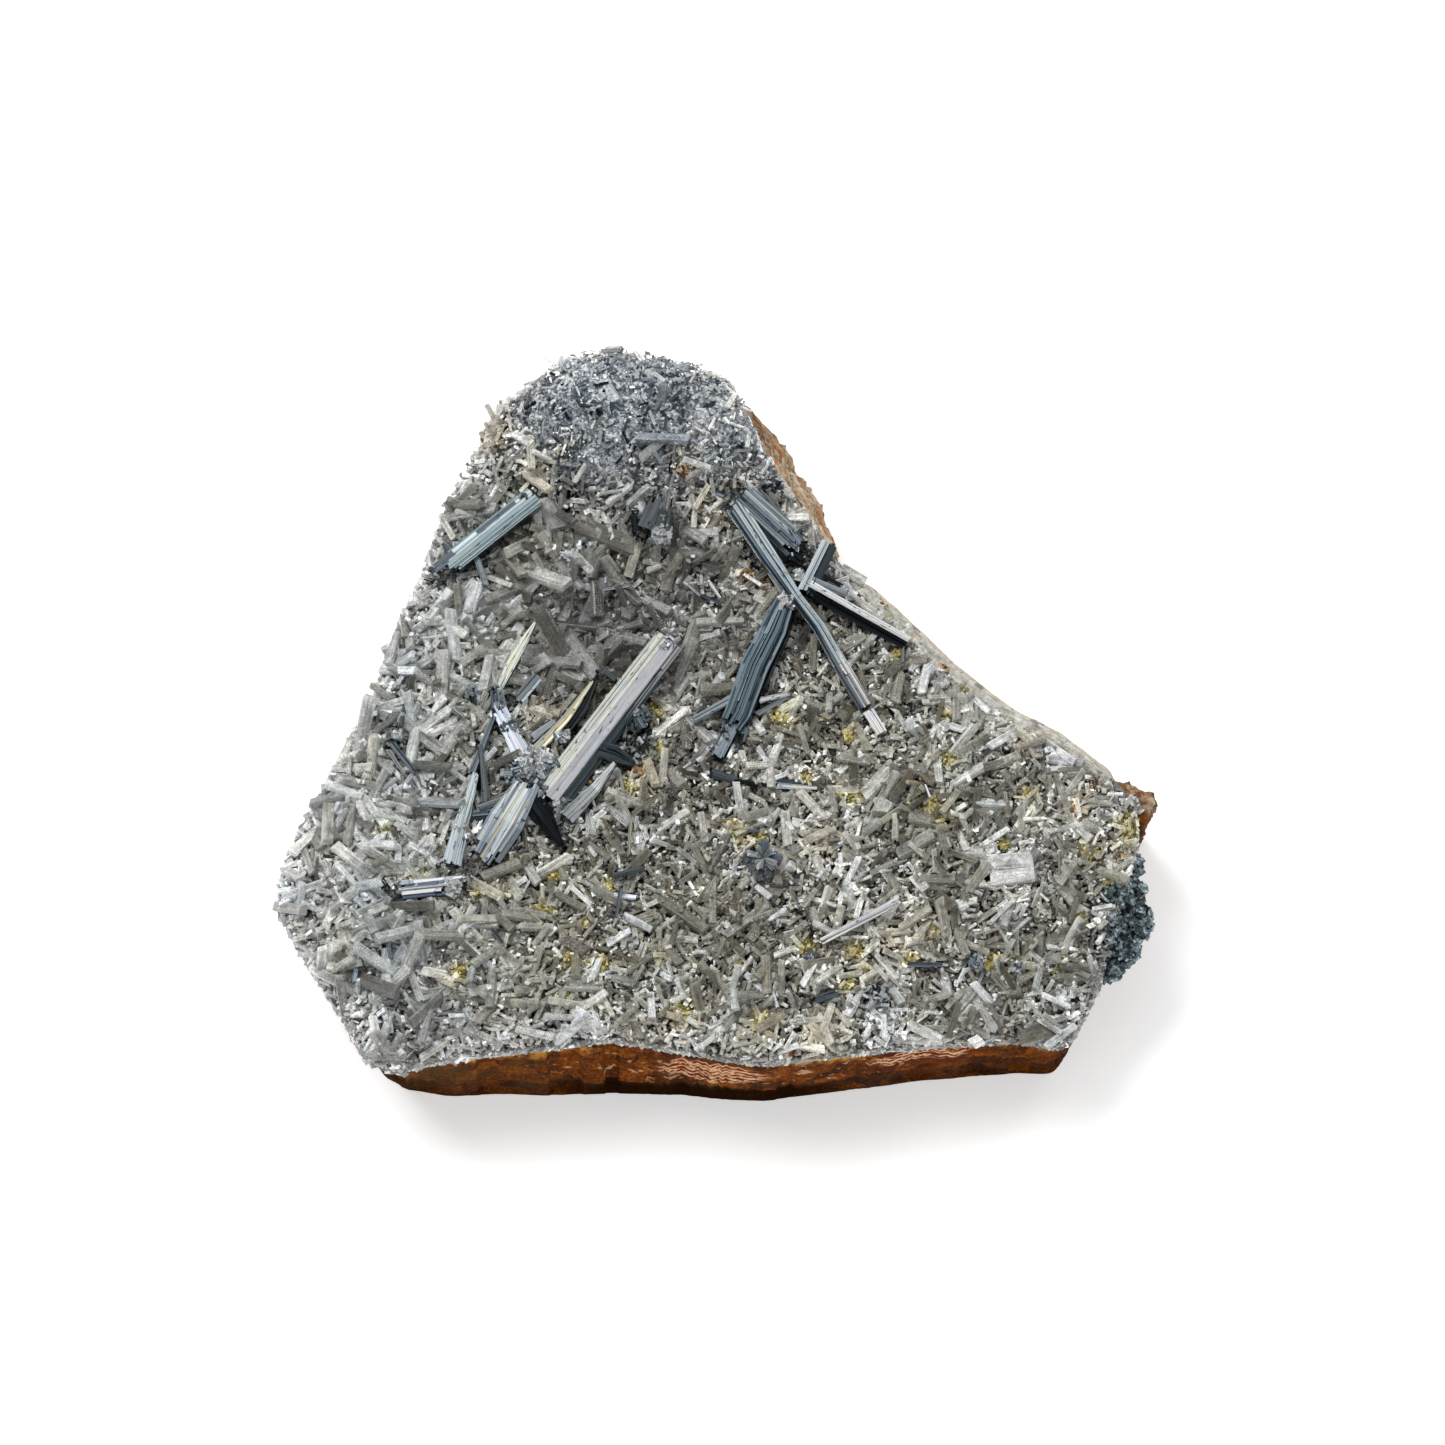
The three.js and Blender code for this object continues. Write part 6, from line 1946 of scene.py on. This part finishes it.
CLUSTERS = {
    "stibnite_centre_cluster": CENTRE_CLUSTER,
    "stibnite_right_cluster": RIGHT_CLUSTER,
    "stibnite_upper_left_prism": UPPER_LEFT,
    "stibnite_lower_left_block": LOWER_LEFT,
    "stibnite_step_block": STEP_BLOCK,
    "stibnite_twin_needle": TWIN_NEEDLE,
    "stibnite_low_needle": LOW_NEEDLE,
}

# Clumps of broken bits: x, y, height, reach, count and metal
CLUMPS = (
    (-25.6, -9.6, 22, 2.4, 190, Metal.BRIGHT), (-28.6, -10.8, 21.4, 1.8, 80, Metal.STEEL),
    (-29.2, -4.2, 21.9, 1.1, 60, Metal.TEAL), (-34.3, 0.4, 20.8, 1.1, 70, Metal.STEEL),
    (-33.8, -0.8, 20, 1.1, 40, Metal.BLACK), (-25.8, -13.2, 21.6, 1.6, 60, Metal.TEAL),
    (-22.2, -15.6, 20.6, 1.5, 50, Metal.TEAL), (-7.6, 8.3, 22.6, 1.7, 60, Metal.SILVER),
    (10.4, 18, 22.2, 0.8, 30, Metal.SILVER), (17.4, 15.1, 22.1, 0.6, 14, Metal.SILVER),
    (-11.4, -2.6, 20.6, 2, 70, Metal.TEAL), (-11.2, -7.6, 20.4, 2.2, 80, Metal.BLACK),
    (-8.6, 24.1, 21.9, 1.4, 90, Metal.SILVER), (-37, -27.8, 21.2, 1.2, 40, Metal.SILVER),
    (34.5, -38.4, 20.4, 1, 40, Metal.BLUE), (21.5, -42.6, 20.3, 1.1, 40, Metal.BLACK),
    (40.2, -39.2, 20.2, 0.9, 30, Metal.TEAL), (12, -37.6, 20.3, 0.8, 30, Metal.TEAL),
    (5.4, -25.4, 20, 1.6, 60, Metal.BLUE), (7.2, 31.4, 22.6, 1.2, 50, Metal.BLACK),
    (8.8, -24.6, 20.2, 0.8, 24, Metal.BLACK), (-24.4, -9, 22.4, 1.3, 70, Metal.BRIGHT),
    (-22, -5.6, 21.8, 0.9, 40, Metal.SILVER), (9, 14.4, 22.9, 1.1, 46, Metal.BRIGHT),
    (6.4, -23.6, 20.7, 1.6, 50, Metal.SILVER),
)

# Small needles seen in the crust: the two ends' x and y, the width and the metal
SMALL_NEEDLES = (
    (-49.5, -37, -50, -41.5, 0.8, Metal.BLUE), (-45.6, -34.5, -45, -38, 0.7, Metal.BLUE),
    (-45.5, -6.5, -42, -11, 0.9, Metal.BLUE), (-46, -7.4, -43.4, -11.4, 0.5, Metal.SILVER),
    (-43.5, -0.5, -44.3, -4.5, 0.7, Metal.STEEL), (-37.5, -1.3, -35.5, -2.9, 0.8, Metal.SILVER),
    (-34.5, 1.2, -34.2, -1, 1, Metal.TEAL), (-18.3, 15.8, -13, 16.6, 0.6, Metal.SILVER),
    (-13, 24.8, -11.8, 25.4, 0.5, Metal.SILVER), (-4.3, 19.7, -0.5, 22.3, 0.7, Metal.STRAW),
    (-5, 17, -3, 15, 0.4, Metal.SILVER), (-2.2, 17.5, -0.2, 14.5, 0.5, Metal.SILVER),
    (-3, 15.2, 0, 13.8, 0.4, Metal.BLUE), (-2.5, 28.5, -1.4, 27, 0.5, Metal.SILVER),
    (0, 27.9, 0.9, 26.4, 0.4, Metal.SILVER), (-1, 30.3, 0.6, 29.6, 0.5, Metal.BLUE),
    (18.5, -3, 23, 0, 0.4, Metal.SILVER), (20, 5.3, 21, 6.6, 0.5, Metal.STEEL),
    (24.8, 5, 24.9, 7.5, 0.5, Metal.STEEL), (-2.3, -7, -0.8, -6, 0.4, Metal.SILVER),
    (-17, 4.7, -14.5, 2.3, 0.7, Metal.STEEL), (-14.2, -10.5, -13.5, -14, 0.45, Metal.SILVER),
    (-12.5, -17.2, -8.5, -14, 0.7, Metal.STRAW), (-12.5, -18, -12.8, -23.3, 0.5, Metal.STRAW),
    (-13.8, -27.5, -14.5, -32, 0.5, Metal.BLUE), (-15, -26, -10.5, -24.8, 0.8, Metal.TEAL),
    (-15, -26.8, -13.4, -26, 0.4, Metal.SILVER), (12.5, -43.7, 15.8, -42.5, 1.2, Metal.BLUE),
    (25, -38.7, 30, -38.7, 0.7, Metal.BLUE), (-31.5, -33.5, -29.8, -35.6, 0.5, Metal.BLUE),
    (28.4, -14.6, 27.6, -12.4, 0.4, Metal.SILVER), (36.2, -27.6, 35.2, -30, 0.5, Metal.STEEL),
    (-20, 35.5, -17.4, 34, 0.5, Metal.BLUE), (-9.6, 36.4, -8.2, 34.2, 0.5, Metal.STEEL),
    (-15.8, 44, -14, 42.4, 0.5, Metal.BLUE), (-6.2, 43, -4.4, 41.8, 0.5, Metal.STEEL),
    (-12.5, -1.6, -13.6, -6.2, 0.5, Metal.SILVER), (-18.4, -13.4, -17.2, -16.4, 0.4, Metal.SILVER),
    (-38.8, 22.8, -37.2, 20, 0.6, Metal.STEEL), (-3.6, 24.2, -2.4, 21.8, 0.4, Metal.SILVER),
)


@dataclass
class Rosette:
    """The small tuft of blades below the middle."""

    at: tuple = (5.6, -23.4, 19.9)
    blades: int = 4
    reach: float = 3.2
    rise: float = 2.2
    widths: tuple = (1.3, 0.8)
    depths: tuple = (0.8, 0.5)
    metals: ClassVar[tuple] = (Metal.BLUE, Metal.SILVER, Metal.STEEL, Metal.BRIGHT)

    def blade_list(self) -> tuple:
        """Works out its blades, and finer ones between them.

        Returns:
            The blades.
        """
        x, y, z = self.at
        made = []
        total = len(self.metals) * self.blades
        for index in range(total):
            turn = index / total * FULL_TURN
            order, kind = divmod(index, len(self.metals))
            main = kind == 0
            reach = self.reach * (between(order + 40, 0.7, 1.0) if main else between(index + 90, 0.4, 0.8))
            width, depth = (sizes[0 if main else 1] for sizes in (self.widths, self.depths))
            near = (x - 0.3 * math.cos(turn), y - 0.3 * math.sin(turn), z, 0.7 * width)
            lift = self.rise * (1.0 if main else between(index + 120, 0.6, 1.5))
            far = (x + reach * math.cos(turn), y + reach * math.sin(turn), z + lift, width)
            made.append(Blade((near, far), depth, 0.3, self.metals[kind], ridged=0.3))
        return tuple(made)


@dataclass
class Stibnite:
    """Every stibnite piece, each in the place of its own solid."""

    slab: Slab
    loose_needles: int = 900
    needle_margin: float = 1.2
    needle_lengths: tuple = (0.5, 2.3)
    needle_widths: tuple = (0.14, 0.5)
    highest: float = 25.3

    def build(self) -> None:
        """Builds the clusters, prisms and needles."""
        finish = StibniteFinish("stibnite").make()
        broken = StibniteFinish("broken_stibnite", metallic=0.55).make()
        groups = {**CLUSTERS, "stibnite_rosette": Rosette().blade_list()}
        for order, (node, blades) in enumerate(groups.items()):
            pile = Pile(node.replace("stibnite_", "grown_"))
            for number, blade in enumerate(blades):
                blade.strands(pile, 100 * order + number)
            settle(pile.make(), broken if node == "stibnite_rosette" else finish, "stibnite", node)
        self.small(finish)
        self.clumps(broken)
        self.needles(finish)

    def small(self, finish: bpy.types.Material) -> None:
        """Builds the listed small needles.

        Args:
            finish: Their material.
        """
        pile = Pile("small_needles")
        for number, (x0, y0, x1, y1, width, metal) in enumerate(SMALL_NEEDLES):
            ends = np.array([[x0, y0], [x1, y1]])
            ground = np.minimum(self.slab.crust_top(ends[:, 0], ends[:, 1]) + (1.2, 2.2), self.highest)
            path = ((x0, y0, ground[0], width), (x1, y1, ground[1], 0.7 * width))
            needle = Blade(path, 0.7 * width, 0.2, metal, ridged=0.2, strand=0.25, film=0.3)
            needle.strands(pile, Seed.SMALL_NEEDLES + number)
        settle(pile.make(), finish, "stibnite")

    @staticmethod
    def clumps(finish: bpy.types.Material) -> None:
        """Builds the clumps of broken bits on and between the prisms.

        Args:
            finish: Their material.
        """
        pile = Pile("broken_bits")
        for number, (x, y, z, reach, count, metal) in enumerate(CLUMPS):
            rng = np.random.default_rng(Seed.CLUMPS + number)
            crumbs(pile, seen(x, y, z), (reach, reach, 0.45 * reach), count, metal, rng, (0.15, 0.75))
        settle(pile.make(), finish, "stibnite")

    def needles(self, finish: bpy.types.Material) -> None:
        """Scatters fine stibnite needles through the crust, most of them in its dusky patches.

        Args:
            finish: Their material.
        """
        rng = np.random.default_rng(Seed.NEEDLES)
        x, y = self.slab.strew(rng, 9 * self.loose_needles)
        knob = self.slab.knob(x, y)
        wish = 0.03 + near_patches(x, y, DUSKY) * (1.0 - 0.7 * knob) + 0.1 * knob
        kept = rng.random(len(x)) < wish
        x, y = x[kept][: self.loose_needles], y[kept][: self.loose_needles]
        count = len(x)
        distance, number = self.slab.nearest(x, y)
        length = rng.uniform(*self.needle_lengths, count)
        spin, tilt = rng.uniform(0, FULL_TURN, count), np.abs(rng.normal(0.1, 0.35, count))
        along = np.stack([np.cos(spin) * np.cos(tilt), np.sin(spin) * np.cos(tilt), np.sin(tilt)], axis=1)
        place = np.column_stack([x, y, self.slab.crust_top(x, y, distance) + rng.uniform(0.0, 0.6, count)])
        place[:, :2] -= self.slab.outward[number] * np.maximum(0.0, self.needle_margin - distance)[:, None]
        width = rng.uniform(*self.needle_widths, count)
        metals = np.array([metal.value for metal in (Metal.BLACK, Metal.TEAL, Metal.BLUE, Metal.STEEL)])
        tint = np.column_stack([metals[rng.integers(0, 4, count)], np.zeros(count)])
        batch = LathBatch(place, along, rng.uniform(-0.8, 0.8, count), length, width, width * 0.8, tint)
        pile = batch.heap(Pile("loose_needles"), Form.GRAIN, Seed.NEEDLE_FORMS)
        settle(pile.make(), finish, "stibnite")


@dataclass
class EdgeMass:
    """The dark massive stibnite that juts from the right edge."""

    knolls: tuple = (
        (55.4, -22.6, 14.4, 2.5), (55.5, -26.4, 13.8, 2.9), (56.1, -30.6, 14, 3.2), (54.4, -31.5, 12, 3.2),
        (54.5, -34.2, 13.8, 2.9), (52.8, -36.6, 13, 2.5), (53.8, -27.5, 16.8, 2.5), (53.2, -32.6, 16, 2.5),
    )
    sizes: tuple = ((420, 1.1, 2.4), (2200, 0.4, 1.2))
    core_share: float = 0.86
    core_relief: tuple = (0.9, 0.5)

    def build(self) -> None:
        """Builds the lumps' cores and the jagged grains all over them."""
        pile = Pile("massive_stibnite_lump")
        for order, (*middle, radius) in enumerate(self.knolls):
            self.core(pile, np.array(middle), self.core_share * radius, order)
        rng = np.random.default_rng(Seed.MASS)
        middles = np.array(self.knolls)
        for count, small, large in self.sizes:
            pick = rng.integers(0, len(middles), count)
            out = unit(rng.normal(0, 1, (count, 3)))
            size = rng.uniform(small, large, count)
            far = middles[pick, 3] - 0.42 * size
            place = middles[pick, :3] + out * (far * rng.uniform(0.8, 1.0, count))[:, None]
            along = unit(out + rng.normal(0, 0.8, (count, 3)))
            width = size * rng.uniform(0.45, 0.9, count)
            roll = rng.uniform(-1.5, 1.5, count)
            batch = LathBatch(place, along, roll, size, width, width * 0.7, np.ones((count, 4)))
            batch.heap(pile, Form.GRAIN, count)
        settle(pile.make(), MassiveFinish().make(), "massive_stibnite", "massive_stibnite")

    def core(
        self, pile: Pile, middle: Array, radius: float, order: int, rows: int = 14, columns: int = 22,
    ) -> None:
        """Adds one broken lump.

        Args:
            pile: Where it goes.
            middle: Its middle.
            radius: Its radius.
            order: Its number.
            rows: Facets from pole to pole.
            columns: Facets around.
        """
        turn, rise = np.meshgrid(
            np.arange(columns) / columns * FULL_TURN, (np.arange(rows) + 0.5) / rows * math.pi - math.pi / 2,
        )
        ball = np.stack([np.cos(rise) * np.cos(turn), np.cos(rise) * np.sin(turn), np.sin(rise)], axis=-1)
        flat = ball.reshape(-1, 3) * radius
        least, depth = self.core_relief
        relief = least + depth * chips(flat + middle, 0.6 * radius, Seed.MASS_CORES + order)
        rings = (flat * relief[:, None] + middle).reshape(1, rows, columns, 3)
        pile.add_rings(rings, PLAIN_TINT[None], np.zeros_like(rings))


@dataclass
class OchreSpecks:
    """Powdery yellow specks between the laths, and a few rusty ones."""

    slab: Slab
    density: float = 150.0
    spread: float = 0.42
    sizes: tuple = (0.14, 0.55)
    rises: tuple = (-0.5, 0.55)
    orange_share: float = 0.35
    yellow: tuple = ((0.13, 0.11, 0.03), (0.31, 0.26, 0.075), (0.47, 0.4, 0.14), (0.64, 0.57, 0.28))
    orange: tuple = ((0.1, 0.055, 0.025), (0.25, 0.13, 0.05), (0.45, 0.3, 0.16))

    def build(self) -> None:
        """Scatters specks over each patch."""
        pile = Pile("ochre_specks")
        for patches, colours, share, seed in (
            (OCHRE, self.yellow, 1.0, Seed.OCHRE), (RUST, self.orange, self.orange_share, Seed.RUST),
        ):
            batch = self.batch(np.array(patches), np.array(colours), share, np.random.default_rng(seed))
            batch.heap(pile, Form.GRAIN, seed)
        settle(pile.make(), OchreFinish().make(), "barite")

    def batch(self, spots: Array, colours: Array, share: float, rng: np.random.Generator) -> LathBatch:
        """Specks of one colour family.

        Args:
            spots: The patches.
            colours: The colours to draw from.
            share: How thickly they lie, as a share of the density.
            rng: The draw.

        Returns:
            The specks.
        """
        chosen = np.repeat(spots, (share * self.density * spots[:, 2] ** 1.6).astype(int), axis=0)
        x = chosen[:, 0] + rng.normal(0, self.spread, len(chosen)) * chosen[:, 2]
        y = chosen[:, 1] + rng.normal(0, self.spread, len(chosen)) * chosen[:, 2]
        kept = self.slab.inside(x, y)
        x, y = x[kept], y[kept]
        kept = self.slab.nearest(x, y)[0] > 0.4
        x, y = x[kept], y[kept]
        count = len(x)
        size = rng.uniform(*self.sizes, count)
        place = np.column_stack([x, y, self.slab.crust_top(x, y) + rng.uniform(*self.rises, count)])
        tint = np.column_stack([colours[rng.integers(0, len(colours), count)], np.ones(count)])
        along = unit(rng.normal(0, 1, (count, 3)))
        return LathBatch(place, along, rng.uniform(-1, 1, count), size * 1.6, size, size * 0.7, tint)


@dataclass
class Studio:
    """Pale floor, soft lights and the camera at the photograph's angle. Its lengths are in metres."""

    elevation: float = math.radians(70.0)
    lens: float = 200.0
    sensor: float = 36.0
    view_width: float = 0.2007
    floor_reach: float = 4.0
    floor_glow: float = 0.4
    ambience: float = 0.3
    lamps: tuple = (
        ("key_light", (-0.42, 0.42, 0.75), 0.6, 7.6, False),
        ("glint_card", (-0.4, 0.4, 0.78), 0.5, 1.1, True),
        ("spark_card", (0.62, 0.67, 0.48), 0.14, 22.0, True),
        ("top_card", (0.0, 0.42, 1.1), 0.7, 0.8, True),
        ("front_fill", (0.35, -0.6, 0.55), 0.6, 1.2, True),
    )
    target: Vector = field(default_factory=lambda: Vector((0.0, 0.0, 0.010)))

    def build(self) -> None:
        """Sets up floor, lights, world and camera."""
        self.floor()
        for settings in self.lamps:
            self.lamp(*settings)
        self.world()
        self.camera()

    def floor(self) -> None:
        """A wide pale floor under the underside."""
        mesh = bpy.data.meshes.new("floor")
        reach = self.floor_reach
        corners = [(-reach, -reach, 0), (reach, -reach, 0), (reach, reach, 0), (-reach, reach, 0)]
        mesh.from_pydata(corners, [], [(0, 1, 2, 3)])
        bench = Bench("floor_paper")
        tone = bench.cloud(bench.place(), 0.003, 1.0)
        paper = bench.mix((0.9, 0.9, 0.9), (0.93, 0.93, 0.93), tone)
        mesh.materials.append(bench.surface(
            {"IOR": 1.3, "Emission Color": (*WHITE, 1.0), "Emission Strength": self.floor_glow},
            {"Base Color": paper, "Roughness": 0.9 + 0.05 * tone},
        ))
        linked("floor", mesh)

    def lamp(self, name: str, place: Sequence[float], size: float, brightness: float, mirrored: bool) -> None:
        """Adds a soft square light aimed at the specimen.

        Args:
            name: Its name.
            place: Where it is, in metres.
            size: Its side, in metres.
            brightness: Its radiance.
            mirrored: Whether glossy faces mirror it.
        """
        data = bpy.data.lights.new(name, "AREA")
        data.shape = "SQUARE"
        data.size = size
        data.energy = brightness * math.pi * size**2
        lamp = linked(name, data)
        lamp.location = Vector(place)
        lamp.visible_glossy = mirrored
        lamp.rotation_euler = (self.target - lamp.location).to_track_quat("-Z", "Y").to_euler()

    def world(self) -> None:
        """Even pale light from all round."""
        world = bpy.data.worlds.new("studio")
        world.use_nodes = True
        background = world.node_tree.nodes["Background"]
        background.inputs["Color"].default_value = (*WHITE, 1.0)
        background.inputs["Strength"].default_value = self.ambience
        scene = bpy.context.scene
        scene.world = world
        scene.view_settings.view_transform = "Standard"

    def camera(self) -> None:
        """Puts the camera in front of the specimen, looking steeply down."""
        data = bpy.data.cameras.new("camera")
        data.lens = self.lens
        data.sensor_width = self.sensor
        distance = self.lens * self.view_width / self.sensor
        away = Vector((0.0, -math.cos(self.elevation), math.sin(self.elevation)))
        camera = linked("camera", data)
        camera.location = self.target + away * distance
        camera.rotation_euler = (-away).to_track_quat("-Z", "Y").to_euler()
        bpy.context.scene.camera = camera


def main() -> None:
    """Builds the specimen from the rock up, then the studio."""
    slab = Slab()
    WallRock(slab).build()
    BariteCrust(slab).build()
    Stibnite(slab).build()
    EdgeMass().build()
    OchreSpecks(slab).build()
    Studio().build()


if __name__ == "__main__":
    main()
